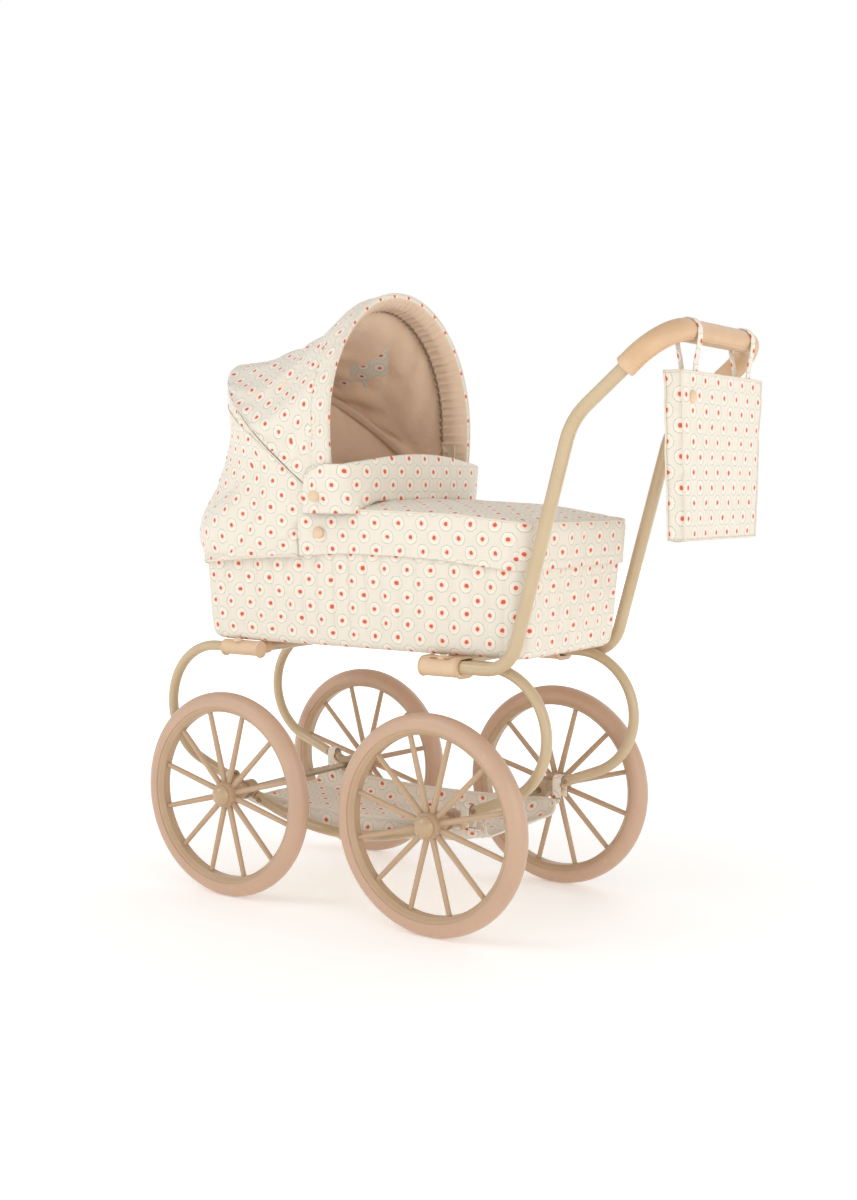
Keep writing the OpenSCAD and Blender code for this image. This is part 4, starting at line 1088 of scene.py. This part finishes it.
def front_band():
    """Arch band: printed outside, a corded front edge, and a gathered tan facing inside round the bow."""
    columns = 460
    t = np.linspace(0, 1, columns)
    depth = BAND_FRONT - BAND_BACK
    outer = [(BAND_BACK + depth * k / 12, 0.0) for k in range(12)]
    edge = [(BAND_FRONT - 1.2, 0.5), (BAND_FRONT - 0.2, 1.5), (BAND_FRONT, 2.8), (BAND_FRONT - 0.6, 4.0)]
    facing = [(lerp(BAND_FRONT - 1.6, BAND_BACK + 0.4, k / 14), 5.0) for k in range(15)]
    facing_in = FACING_IN * ease(np.clip((np.minimum(t, 1 - t) - 0.05) / 0.08, 0, 1))
    back = [(BAND_BACK - 0.4, 6.5), (BAND_BACK - 0.5, 3.5), (BAND_BACK - 0.3, 1.0)]
    profile = outer + edge + facing + back
    kinds = [0] * (len(outer) + len(edge) - 1) + [1] * (len(facing) + len(back)) + [0]
    run = t * 530
    rings = []
    ruffle = np.sin(2 * math.pi * run / RUFFLE + 2.4 * lumps(np.column_stack([run, 0 * run, 0 * run]), 26, 11))
    ruffle = ruffle + 0.5 * np.sin(2 * math.pi * run / 4.7 + 1.7 * np.sin(run / 23))
    for number, (x, inset) in enumerate(profile):
        is_facing = len(outer) + len(edge) <= number < len(profile) - 2
        depth_share = np.clip((BAND_FRONT - 1 - x) / depth, 0, 1)
        if is_facing:
            extra = (0.1 + 1.4 * facing_in / FACING_IN) * ruffle * depth_share ** 0.5
            extra = extra + facing_in * math.sin(math.pi / 2 * min(1, 2 * depth_share))
            slip = 1.3 * depth_share * np.cos(2 * math.pi * run / RUFFLE)
        else:
            spot = np.column_stack([run, np.full(columns, x), 0 * run])
            extra = -0.5 * lumps(spot, 15, 12) - 0.35 * lumps(spot, 6, 13) if number < len(outer) else 0 * run
            extra = extra + (0.45 if number in (5, 6) else 0)
            slip = 0 * run
        y, z, _, _ = arch_line(t, inset + extra, (BAND_FRONT - x) / depth)
        rings.append(np.column_stack([np.full(columns, x) + slip, y, z]))
    rings = np.array(rings).transpose(1, 0, 2)
    m, n = rings.shape[:2]
    across = lengths(np.array(profile + profile[:1]))
    uv = np.stack(np.meshgrid(run, across, indexing="ij"), axis=2)
    band = swept("hood_band", rings, [printed, facing_cloth], uv=uv, ring_material=kinds)
    settle_on(band, "hood", "cloth", "front_band")
    y, z, ny, nz = arch_line(t, 0.2)
    front = np.column_stack([np.full(columns, BAND_FRONT - 0.6), y, z])
    normals = np.column_stack([np.full(columns, 0.6), ny, nz])
    strip("hood_band_piping", front, normals, circle(1.0), binding, "hood", "cloth")
    normals = np.column_stack([0 * t, ny, nz])
    for name, x in (("hood_band_stitches", BAND_FRONT - 12), ("hood_band_seam_stitches", BAND_BACK + 2)):
        y, z, _, _ = arch_line(t, 0.35 if name == "hood_band_stitches" else 0, (BAND_FRONT - x) / depth)
        sew(name, np.column_stack([np.full(columns, x), y, z]), normals, "hood")
    # A dark strip along the back of the facing, following its ruffle: painted shadow for the shaded recess
    # between the facing and the canopy lining.
    y, z, ny, nz = arch_line(t, 5.0 + facing_in + 1.1, 0.97)
    line = np.column_stack([BAND_BACK + 0.8 + 0.5 * np.cos(2 * math.pi * run / RUFFLE), y, z])[50:-50]
    strip("hood_band_shadow_strip", line, np.column_stack([0 * t, ny, nz])[50:-50], strip_section(1.4, 2.6, 0.5),
          recess_shadow_cloth, "hood", "lining")


def canopy_rows(inset, rows, columns, sag):
    """Grid of the canopy from the front band (row 0) to the rear bow (last row)."""
    t = 0.02 + 0.96 * np.linspace(0, 1, columns)
    f = np.linspace(0, 1, rows)[:, None, None]
    leg_share = 0.13
    bow_t = np.abs(2 * t - 1)
    matched = np.where(bow_t > CROWN_PART, leg_share * (1 - bow_t) / (1 - CROWN_PART),
                       leg_share + (0.5 - leg_share) * (CROWN_PART - bow_t) / CROWN_PART)
    matched = np.where(t < 0.5, matched, 1 - matched)
    y, z, _, _ = arch_line(matched, inset, 1.0)
    front = np.column_stack([np.full(columns, BAND_BACK), y, z])
    rear = rear_line(t, inset) + REAR_OUT * 0.6
    crown = ease(np.clip((0.62 - bow_t) / 0.4, 0, 1))[None, :]
    g = f[:, :, 0]
    up = -sag * np.sin(math.pi * g ** 0.8) * crown
    lift = np.zeros((rows, columns, 3))
    lift[:, :, 2] = up
    lift[:, :, 0] = -0.3 * up
    belly = 4 * g * (1 - g) * 1.6 * (1 - crown) * np.where(t < 0.5, -1, 1)[None, :]
    lift[:, :, 1] = belly
    return lerp(front[None], rear[None], f) + lift


def hood_cloth():
    """Printed canopy and its tan lining, stretched between the band and the rear bow."""
    rows, columns = 44, 150
    for name, inset, material, seed in (("hood_canopy", 0.4, printed, 14),
                                        ("hood_lining", 6.0, lining_cloth_lightened, 15)):
        grid = canopy_rows(inset, rows, columns, SAG)
        normal = surface_normals(grid)
        if (normal[rows // 2, columns // 2] @ np.array([0, 0, 1])) < 0:
            normal = -normal
        edge = np.sin(math.pi * np.linspace(0, 1, rows))[:, None] ** 0.5
        uv = flat_uv(grid)
        spot = np.stack([uv[:, :, 0], uv[:, :, 1], 0 * uv[:, :, 0]], axis=2)
        if name == "hood_canopy":
            relief = 0.9 * lumps(spot, 19, seed) + 0.6 * lumps(spot, 8, seed + 1)
        else:
            wide = spot * np.array([0.35, 1.0, 1.0])
            relief = 3.2 * lumps(wide, 22, seed) + 1.3 * lumps(spot * [0.4, 1, 1], 10, seed + 1) + 1.0
        grid = grid + normal * (relief * edge)[:, :, None]
        piece = sheet_grid(name, grid, uv + 4, [material])
        drape(piece, grid_edges(rows, columns), frames=18, gravity=0.3, grow=0.02, cap=4.0)
        face_out(piece, (PIVOT[0] - 30, 0, PIVOT[2]), name == "hood_canopy")
        thicken(piece, 1.0)
        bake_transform(piece)
        if name == "hood_canopy":
            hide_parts("canopy")


def face_out(piece, inside, outward=True):
    """Turns a sheet's faces away from a point inside it, or towards it."""
    mesh = piece.data
    centre = Vector(world(inside))
    total = sum((p.center - centre).dot(p.normal) * p.area for p in mesh.polygons)
    if (total > 0) != outward:
        mesh.flip_normals()


SIDE_RUN = 103
HEM_W = TOP_W + 3.6
HEM_CORNER = 60
HEM_END = -192


def hem_line(t, grow=0.0):
    """The skirt's hem in plan, from the left side's front end round the hood end to the right side's."""
    t = np.asarray(t, float)
    total = 2 * SIDE_RUN + math.pi * HEM_CORNER + 2 * (HEM_W - HEM_CORNER)
    d = np.minimum(t, 1 - t) * total
    sign = np.where(t < 0.5, -1.0, 1.0)
    arc = math.pi / 2 * HEM_CORNER
    corner_x = HEM_END + HEM_CORNER
    a = np.clip((d - SIDE_RUN) / arc, 0, 1) * math.pi / 2
    r = HEM_CORNER + grow
    on_side, on_arc = d < SIDE_RUN, d < SIDE_RUN + arc
    x = np.where(on_side, corner_x + SIDE_RUN - d, np.where(on_arc, corner_x - r * np.sin(a), HEM_END - grow))
    y = np.where(on_side, HEM_W + grow, np.where(on_arc, HEM_W - HEM_CORNER + r * np.cos(a), total / 2 - d))
    return np.stack([x, sign * y], axis=-1), total


WAIST_Z, WAIST_IN, BULGE_OUT, FULL_H = 400, 16, 14, 206


def skirt_rows(inset, rows, columns):
    """Grid of the hood's rear skirt from the rear bow (row 0) to the hem (last row)."""
    t = 0.025 + 0.95 * np.linspace(0, 1, columns)
    top = rear_line(t, inset)
    hem_z = HEM_Z + 14 * np.cos(math.pi * t) ** 2
    height = top[:, 2] - hem_z
    waist = np.maximum(0.08, (top[:, 2] - WAIST_Z) / height)
    pull = WAIST_IN * np.maximum(0, (top[:, 2] - WAIST_Z) / (FULL_H - WAIST_Z + HEM_Z))
    bulge = BULGE_OUT * np.sqrt(np.clip(height / FULL_H, 0.25, 1))
    bulge = bulge * np.minimum(1, 0.2 + 5 * np.minimum(t, 1 - t))
    foot, _ = hem_line(t, -inset)
    still, _ = hem_line(t, 0.0)
    grid = []
    for f in np.linspace(0, 1, rows):
        swell = np.where(f < waist, -pull * np.sin(math.pi * f / waist) ** 2,
                         bulge * np.sin(math.pi * (f - waist) / ((1 - waist) * 1.04)))
        out = hem_line(t, swell)[0] - still
        s = math.sin(math.pi / 2 * min(1, f / 0.8))
        grid.append(np.column_stack([lerp(top[:, 0], foot[:, 0], s) + out[:, 0],
                                     lerp(top[:, 1], foot[:, 1], s) + out[:, 1],
                                     lerp(top[:, 2] - 0.5, hem_z, f)]))
    return np.array(grid), t


def rear_skirt():
    """Back of the hood: a loose skirt gathered under the rear bow, with a turned hem."""
    rows, columns = 52, 190
    for name, inset, material, seed in (("hood_skirt", 0.4, printed, 20),
                                        ("skirt_lining", 4.6, lining_cloth_lightened, 24)):
        grid, t = skirt_rows(inset, rows, columns)
        uv = flat_uv(grid[::-1])[::-1]
        normal = surface_normals(grid)
        hint = grid[rows // 2, columns // 2] - np.array([-60, 0, 400])
        if normal[rows // 2, columns // 2] @ hint < 0:
            normal = -normal
        f = np.linspace(0, 1, rows)[:, None]
        edge = np.clip(f * 8, 0, 1) * np.clip((1 - f) * 6 + 0.2, 0, 1)
        spot = np.stack([uv[:, :, 0], uv[:, :, 1], 0 * uv[:, :, 0]], axis=2)
        relief = 1.5 * lumps(spot * [1.6, 0.5, 1], 32, seed) + 0.6 * lumps(spot, 10, seed + 1)
        if name == "skirt_lining":
            relief = relief - 1.2
        else:
            relief = relief - 0.9 * np.exp(-((f - 0.93) / 0.012) ** 2)
        grid = grid + normal * (relief * edge)[:, :, None]
        piece = sheet_grid(name, grid, uv + 9, [material])
        drape(piece, grid_edges(rows, columns), frames=16, gravity=0.3, grow=0.015, cap=3.0)
        face_out(piece, (-60, 0, 400), name == "hood_skirt")
        thicken(piece, 1.0)
        settle_on(piece, "bassinet", "cloth" if name == "hood_skirt" else "lining",
                  *(["rear_skirt"] if name == "hood_skirt" else []))
        if name == "hood_skirt":
            hem = grid[-1] + 0.6 * UP
            strip("skirt_hem", hem + normal[-1] * 0.1, normal[-1], strip_section(2.6, 2.6, 1.2), binding,
                  "bassinet", "cloth")
            sew("skirt_hem_stitches", grid[-4], normal[-4], "bassinet")
    grid, t = skirt_rows(-0.6, rows, columns)
    below = 0.16 * ease(np.clip((0.2 - np.abs(t - 0.5)) / 0.18, 0, 1)) * (rows - 1)
    row = below.astype(int)
    pick = np.arange(columns)
    seam = lerp(grid[row, pick], grid[row + 1, pick], (below - row)[:, None])
    out = rear_line(t, -2) - rear_line(t, 0)
    strip("rear_seam_piping", seam[6:-6], out[6:-6], circle(0.7), binding, "bassinet", "cloth")
    strip("rear_bow_casing", rear_line(t, 7.2)[26:-26], out[26:-26], strip_section(5.4, 8.4, 2.0),
          facing_cloth, "bassinet", "lining")


# ---------------------------------------------------------------- bag and basket


def bag():
    """Flat pouch with a gusset, hung from the crossbar by two cloth loops."""
    low, high = bag_low, bag_high
    depth, height = high[0] - low[0], high[2] - low[2]
    mid_x = (low[0] + high[0]) / 2
    top_w, low_w = high[1], high[1] - 10
    front_n, side_n = 64, 8
    rows = []
    levels = np.linspace(0, 1, 56)
    for f in levels:
        w = lerp(top_w, low_w, f)
        d = depth / 2 - 0.4
        y = np.concatenate([np.linspace(-w, w, front_n, endpoint=False), np.full(side_n, w),
                            np.linspace(w, -w, front_n, endpoint=False), np.full(side_n, -w)])
        x = np.concatenate([np.full(front_n, d), np.linspace(d, -d, side_n, endpoint=False),
                            np.full(front_n, -d), np.linspace(-d, d, side_n, endpoint=False)])
        z = high[2] - f * height + 0 * y
        spot = np.stack([y, z, x], axis=1)
        pillow = (1 - (y / w) ** 4) * math.sin(math.pi * min(1, f * 0.9 + 0.1)) * 2.0
        mid = np.sign(x) * np.where(np.abs(np.abs(x) - d) < 0.01, 1, 0)
        x = x + mid * (0.4 * pillow * np.where(x > 0, 1, 0.8) + 0.7 * lumps(spot, 16, 30)
                       + 0.4 * lumps(spot, 7, 31))
        side = np.where(np.abs(np.abs(y) - w) < 0.01, 1, 0) * np.where(np.abs(x) < d - 0.5, 1, 0)
        y = y - np.sign(y) * side * (1.6 + 0.8 * lumps(spot, 11, 32))
        stitch = math.exp(-((f * height - 9) / 1.1) ** 2)
        x = x - np.sign(x) * 0.45 * stitch * (mid != 0)
        rows.append(np.column_stack([mid_x + x, y, z]))
    rows = np.array(rows)
    n = rows.shape[1]
    run = lengths(np.vstack([rows[0], rows[0][:1]]))
    uv = np.stack(np.meshgrid(run - 20, levels * -height + 6), axis=2)
    pouch = sheet_grid("bag_pouch_cloth", rows, uv, [printed, lining_cloth_lightened], closed=True)
    face_out(pouch, (mid_x, 0, (low[2] + high[2]) / 2))
    thicken(pouch, 1.0, 1)
    settle_on(pouch, "bag", "cloth", "bag_pouch")
    bottom = rows[-1]
    spread = []
    for share in np.linspace(0, 1, 6):
        spread.append(np.column_stack([lerp(bottom[:, 0], mid_x, share), bottom[:, 1],
                                       bottom[:, 2] - 1.6 * math.sin(math.pi / 2 * share)]))
    spread = np.array(spread)
    base = sheet_grid("bag_bottom", spread, plan_uv(spread), [printed], closed=True, weld=True)
    settle_on(base, "bag", "cloth")
    corners = [0, front_n, front_n + side_n, 2 * front_n + side_n]
    for number, k in enumerate(corners):
        line = rows[:, k]
        out = np.column_stack([np.sign(line[:, 0] - mid_x), np.sign(line[:, 1]), 0 * line[:, 0]])
        strip(f"bag_seam_{number}", line, out, circle(0.8), binding, "bag", "cloth")
    up = np.tile(UP, (n, 1))
    strip("bag_rim", rows[0], up, strip_section(2.2, 2.2, 0.9), binding, "bag", "cloth", closed=True)
    level = int(round(9 / height * 55))
    front = rows[level, 2:front_n - 1] + np.array([0.2, 0, 0])
    sew("bag_hem_stitches", front, np.tile([1.0, 0, 0], (len(front), 1)), "bag")
    strip("bag_bottom_seam", rows[-1], -up, circle(0.8), binding, "bag", "cloth", closed=True)


def bag_loops():
    """Two printed cloth loops over the grip."""
    grip_low, grip_high = node_box("bag_straps")
    radius = (grip_high[0] - grip_low[0]) / 2 - 0.7
    reach = bag_high[0] - BAR[0] - 1.9
    hem = bag_high[2]
    for number, (name, y) in enumerate((("left", -54.0), ("right", 54.5))):
        half = []
        for a in np.radians(np.linspace(90, -4, 14)):
            half.append((radius * math.cos(a), BAR[2] + radius * math.sin(a)))
        for s in np.linspace(0.12, 1, 8):
            half.append((lerp(radius, reach, ease(s)), lerp(BAR[2] - 2, hem + 1, s)))
        half += [(reach, hem - 5), (reach, hem - 11)]
        side = [(BAR[0] + x, y, z) for x, z in half]
        path = polyline([(2 * BAR[0] - x, y, z) for x, y, z in side[::-1]] + side[1:], 90)
        middle = np.array([BAR[0], y, BAR[2]])
        normals = path - middle
        normals[:, 1] = 0
        rings = section_rings(path, normals, strip_section(1.2, 8.0, 0.5))
        rings[:, :, 1] += 0.5 * np.sin(np.linspace(0, 9, len(path)))[:, None]
        strap = swept(f"bag_loop_{name}", rings, [printed])
        settle_on(strap, "bag", "cloth", *([] if number else ["bag_straps"]))


def basket():
    """Printed cloth sling under the frame with a sagging floor and a turned edge."""
    reach, half_w, top = basket_high[0], basket_high[1], basket_high[2]
    sag, columns, count = 15, 150, 60
    wall_r = 10
    rows = []
    for x in np.linspace(-reach, reach, columns):
        low = top - 10 - sag * math.cos(math.radians(80) * x / reach)
        w = half_w - 0.5 - 8 * (abs(x) / reach) ** 6
        rim = top - 3.5 * math.cos(math.pi / 2 * x / reach) ** 2
        line = [(-w - 0.4, rim), (-w, low + wall_r)]
        line += [(-w + wall_r + wall_r * math.cos(a), low + wall_r + wall_r * math.sin(a))
                 for a in np.radians(np.linspace(195, 270, 6))]
        line += [(0, low - 0.8)]
        line += [(-y, z) for y, z in line[-2::-1]]
        profile = polyline(line, count)
        rows.append(np.column_stack([np.full(count, x), profile]))
    grid = np.array(rows)
    step = np.linalg.norm(np.diff(grid, axis=1), axis=2)
    run = np.concatenate([np.zeros((columns, 1)), np.cumsum(step, axis=1)], axis=1)
    run = run - run[:, count // 2][:, None]
    uv = np.stack([grid[:, :, 0], run], axis=2)
    spot = np.stack([grid[:, :, 0], run, 0 * run], axis=2)
    fold = 1.0 * lumps(spot * [1.4, 0.5, 1], 24, 40) + 0.5 * lumps(spot, 9, 41)
    normal = surface_normals(grid)
    if normal[columns // 2, count // 2, 2] < 0:
        normal = -normal
    grid = grid + normal * (fold + 0.9)[:, :, None]
    piece = sheet_grid("basket_sling", grid, uv + 5, [printed])
    ends = np.arange(columns * count).reshape(columns, count)
    pinned = np.concatenate([ends[:12, 0], ends[-12:, 0], ends[:12, -1], ends[-12:, -1], ends[0], ends[-1]])
    drape(piece, pinned, frames=18, gravity=0.4, grow=0.01, cap=3.0)
    face_out(piece, (0, 0, top + 60))
    thicken(piece, 1.0)
    settle_on(piece, "frame", "cloth", "basket")
    final = mesh_points(piece.data).reshape(columns, count, 3) / MM - SHIFT
    for number, line in enumerate((final[:, 0], final[:, -1])):
        out = np.column_stack([0 * line[:, 0], np.sign(line[:, 1]), 0 * line[:, 0]])
        strip(f"basket_edge_{number}", line, out, strip_section(2.4, 4.4, 1.1), binding, "frame", "cloth")
    for number, line in enumerate((final[0], final[-1])):
        strip(f"basket_end_{number}", line + 0.3 * UP, np.tile(UP, (count, 1)), strip_section(2.2, 3.6, 1.0),
              binding, "frame", "cloth")


def basket_tabs():
    """Cloth tabs that loop over the C tubes' lower arms and snap outside."""
    low, high = node_box("basket_tabs")
    tube_low, tube_high = node_box("c_tube_rear_right")
    tube_y, tube_r = (tube_low[1] + tube_high[1]) / 2, (tube_high[1] - tube_low[1]) / 2
    width = 9.0
    x_mid = high[0] - 5.4
    z_mid = tube_low[2] + 9.6
    for sx in (-1, 1):
        for sy in (-1, 1):
            r = tube_r + 1.0
            path = [(basket_high[1] - 6, basket_high[2] - 4.2), (tube_y - r - 2, basket_high[2] - 2.8),
                    (tube_y - r, basket_high[2] + 0.5)]
            path += [(tube_y + r * math.cos(a), z_mid + r * math.sin(a))
                     for a in np.radians(np.linspace(180, 0, 14))]
            path += [(tube_y + r + 0.2, basket_high[2] + 6), (tube_y + r + 0.3, basket_high[2] + 0.2)]
            line = polyline(path, 60)
            three = np.column_stack([np.full(60, sx * x_mid), sy * line[:, 0], line[:, 1]])
            middle = np.array([sx * x_mid, sy * tube_y, z_mid - 4])
            rings = section_rings(three, three - middle, strip_section(1.2, width, 0.5))
            name = f"basket_tab_{'front' if sx < 0 else 'rear'}_{'left' if sy < 0 else 'right'}"
            tab = swept(name, rings, [printed])
            settle_on(tab, "frame", "cloth", *(["basket_tabs"] if sx + sy == -2 else []))


# ---------------------------------------------------------------- snaps, sleeves, grip


def snap_profile(radius, height):
    """Domed press button with a rolled rim and a post that runs into the cloth."""
    r, h = radius, height
    return [(0, -1.5), (r * 0.94, -1.5), (r, -0.3), (r, h * 0.3), (r * 0.95, h * 0.52), (r * 0.86, h * 0.6),
            (r * 0.8, h * 0.56), (r * 0.72, h * 0.72), (r * 0.5, h * 0.92), (r * 0.25, h), (0, h)]


def snaps():
    """Every press button, each turned on its own axis, in place of the CAD's plain discs."""
    for node, body in (("sleeve_snaps", "frame"), ("basket_snaps", "frame"), ("flap_snaps", "bassinet"),
                       ("bag_snap", "bag")):
        mesh = frame["nodes"][node].data
        for number, island in enumerate(islands(mesh_points(mesh) / MM - SHIFT)):
            low, high = island.min(axis=0), island.max(axis=0)
            size = high - low
            thin = int(np.argmin(size))
            middle = (low + high) / 2
            axis = np.zeros(3)
            axis[thin] = 1 if thin == 2 else np.sign(middle[thin])
            base = middle - axis * size[thin] / 2
            profile = snap_profile(size.max() / 2, size[thin] * 1.4)
            piece = lathe(f"{node}_{number}", profile, base, axis, snap_plastic)
            settle_on(piece, body, "snap", *([node] if number == 0 else []))


BUTTON_APART = 14


def islands(points):
    """The points of each button, sorted apart by how near they lie."""
    left = list(range(len(points)))
    groups = []
    while left:
        seed = points[left[0]]
        near = [k for k in left if np.linalg.norm(points[k] - seed) < BUTTON_APART]
        groups.append(points[near])
        left = [k for k in left if k not in set(near)]
    return groups


def handle_line():
    """Middle line of the grip: up the left arm, along the crossbar and down the right arm."""
    arm_high, arm_top, half_y = np.array([250.0, 454.0]), np.array([BAR[0], BAR[2]]), 95.0
    bend, start = 36, 0.58
    d = (arm_top - arm_high) / np.linalg.norm(arm_top - arm_high)
    foot = lerp(arm_high, arm_top, start)
    before = arm_top - d * bend
    left = [(foot[0], -half_y, foot[1]), (before[0], -half_y, before[1])]
    for a in np.radians(np.linspace(6, 90, 12)):
        along, across = bend * math.sin(a), bend * (1 - math.cos(a))
        left.append((before[0] + d[0] * along, across - half_y, before[1] + d[1] * along))
    right = [(x, -y, z) for x, y, z in left[::-1]]
    return np.array(left + right), d


def grip_details():
    """Rolled ends and an underside seam on the padded grip."""
    route, d = handle_line()
    path = polyline(route, 200)
    radius = (node_box("handle_grip")[1][2] - BAR[2])
    down = np.tile(np.array([d[1], 0, -d[0]]), (200, 1))
    strip("grip_seam", path + down * (radius - 0.05), down, circle(0.5), grip_leather, "frame", "grip")
    for name, shift in (("grip_stitches_inner", 1.6), ("grip_stitches_outer", -1.6)):
        side = np.cross(directions(path), down)
        row = path + down * (radius - 0.1) + side * shift
        settle_on(stitches(name, row, down, tan_thread, sink=0.25), "frame", "grip")
    axis = np.array([d[0], 0, d[1]])
    for name, y in (("left", -95.0), ("right", 95.0)):
        end = np.array([route[0][0], y, route[0][2]])
        profile = [(6.25, -0.6), (radius - 2.2, -0.9), (radius - 0.6, -0.4), (radius + 0.15, 0.8),
                   (radius + 0.1, 2.2), (radius - 0.4, 3.0), (6.25, 3.0)]
        rim = lathe_ring(f"grip_end_{name}", profile, end, axis, grip_leather)
        settle_on(rim, "frame", "grip")


def lathe_ring(name, profile, origin, axis, material, segments=56):
    """A turned ring: profile is a closed loop of radius and height."""
    axis = np.asarray(axis, float) / np.linalg.norm(axis)
    u = np.cross(axis, [0, 1.0, 0]) if abs(axis[1]) < 0.9 else np.cross(axis, [1.0, 0, 0])
    u = u / np.linalg.norm(u)
    v = np.cross(axis, u)
    rings = []
    for a in np.linspace(0, 2 * math.pi, segments, endpoint=False):
        spoke = math.cos(a) * u + math.sin(a) * v
        rings.append([np.asarray(origin) + axis * h + spoke * r for r, h in profile])
    return swept(name, np.array(rings), [material], closed=True)


def sleeve_details():
    """Rolled lips and edges, tongues under the bassinet's snaps and rolled rims on the four tube sleeves."""
    for side, sy in (("left", -1), ("right", 1)):
        low, high = node_box(f"sleeve_rear_{side}")
        radius = (high[2] - low[2]) / 2
        z_mid = (high[2] + low[2]) / 2
        y_in, y_out = 82.0, 95.0
        corners = []
        for y, start in ((y_out, -90), (y_in, 90)):
            for a in np.radians(np.linspace(start, start + 180, 14)):
                corners.append((y + radius * math.cos(a), z_mid + radius * math.sin(a)))
        loop = polyline(corners, 90, closed=True)
        for name, x, size in (("lip", high[0] - 1.2, 1.25), ("edge", low[0] + 1.0, 0.8)):
            path = np.column_stack([np.full(90, x), sy * loop[:, 0], loop[:, 1]])
            centre = np.array([x, sy * (y_in + y_out) / 2, z_mid])
            strip(f"sleeve_{name}_{side}", path, path - centre, circle(size, 12), sleeve_leather,
                  "frame", "leather", closed=True)
        top = high[2]
        line = polyline([(110, top + 0.3), (116, top + 0.55), (126, top + 0.55), (131, top + 0.3)], 30)
        path = np.column_stack([line[:, 0], np.full(30, sy * 96.0), line[:, 1]])
        strip(f"sleeve_tongue_{side}", path, np.tile(UP, (30, 1)), strip_section(1.0, 11.0, 0.45),
              sleeve_leather, "frame", "leather")
        low, high = node_box(f"sleeve_front_{side}")
        radius = 7.5
        for name, x in (("mouth", low[0] + 1.0), ("end", high[0] - 1.0)):
            profile = [(radius - 0.8, -1.1), (radius + 0.35, -0.9), (radius + 0.5, 0), (radius + 0.35, 0.9),
                       (radius - 0.8, 1.1)]
            rim = lathe_ring(f"sleeve_front_{name}_{side}", profile, (x, sy * 82.0, z_mid + 0.0),
                             (1, 0, 0), sleeve_leather)
            settle_on(rim, "frame", "leather")


# ---------------------------------------------------------------- floor, light, camera


def studio():
    """Pale floor with a painted glow that grows away from the middle, soft lights and the camera."""
    bpy.ops.mesh.primitive_plane_add(size=12)
    floor = bpy.context.object
    floor.name = "floor"
    nodes = Nodes("glowing_pale_floor", 0.75)
    place = object_place(nodes)
    shade = nodes.mix(nodes.noise(place, 0.002, 2.0), srgb(250, 249, 247), srgb(253, 252, 250))
    away = nodes.vector("LENGTH", place).outputs["Value"]
    # Painted light: the floor glows, faintly near the pram and more further away, so that it reads white round
    # soft shadows.
    glow = nodes.remap(away, 300.0, 1700.0, 0.25, 0.7)
    nodes.put(nodes.shader.inputs["Emission Color"], (1, 1, 1, 1))
    nodes.put(nodes.shader.inputs["Emission Strength"], glow)
    floor.data.materials.append(nodes.finish(shade))
    world_light = bpy.data.worlds.new("studio")
    bpy.context.scene.world = world_light
    world_light.use_nodes = True
    background = world_light.node_tree.nodes["Background"]
    background.inputs[0].default_value = (1, 1, 1, 1)
    tree = world_light.node_tree
    height = tree.nodes.new("ShaderNodeSeparateXYZ")
    dimmer = tree.nodes.new("ShaderNodeMapRange")
    for number, value in ((1, 0.32), (2, 0.6), (3, 1.0), (4, 0.6)):
        dimmer.inputs[number].default_value = value
    tree.links.new(tree.nodes.new("ShaderNodeTexCoord").outputs["Generated"], height.inputs[0])
    tree.links.new(height.outputs["Z"], dimmer.inputs[0])
    tree.links.new(dimmer.outputs[0], background.inputs[1])
    target = Vector((0, 0, 0.3))
    for name, place, size, power in (("key", (-1.6, -2.2, 2.3), 1.6, 17), ("fill", (2.4, -1.4, 0.9), 1.6, 13),
                                     ("back", (0.4, 2.4, 2.2), 2.0, 8)):
        lamp = bpy.data.lights.new(name, "AREA")
        lamp.size = size
        lamp.energy = power
        holder = bpy.data.objects.new(name, lamp)
        bpy.context.scene.collection.objects.link(holder)
        holder.location = place
        holder.rotation_euler = (target - Vector(place)).to_track_quat("-Z", "Y").to_euler()
    bpy.context.scene.view_settings.view_transform = "Standard"
    lens = bpy.data.cameras.new("camera")
    lens.sensor_width = 36
    lens.lens = 45.09
    camera = bpy.data.objects.new("camera", lens)
    bpy.context.scene.collection.objects.link(camera)
    camera.location = world((863.7, -1190.7, 398.2))
    camera.rotation_euler = (math.radians(90 - 4.30), 0, math.radians(34.66))
    bpy.context.scene.camera = camera


studio()
bassinet_side()
bassinet_bottom()
bassinet_lining()
mattress()
apron()
wind_flap()
front_band()
hood_cloth()
rear_skirt()
bag()
bag_loops()
basket()
basket_tabs()
snaps()
grip_details()
sleeve_details()
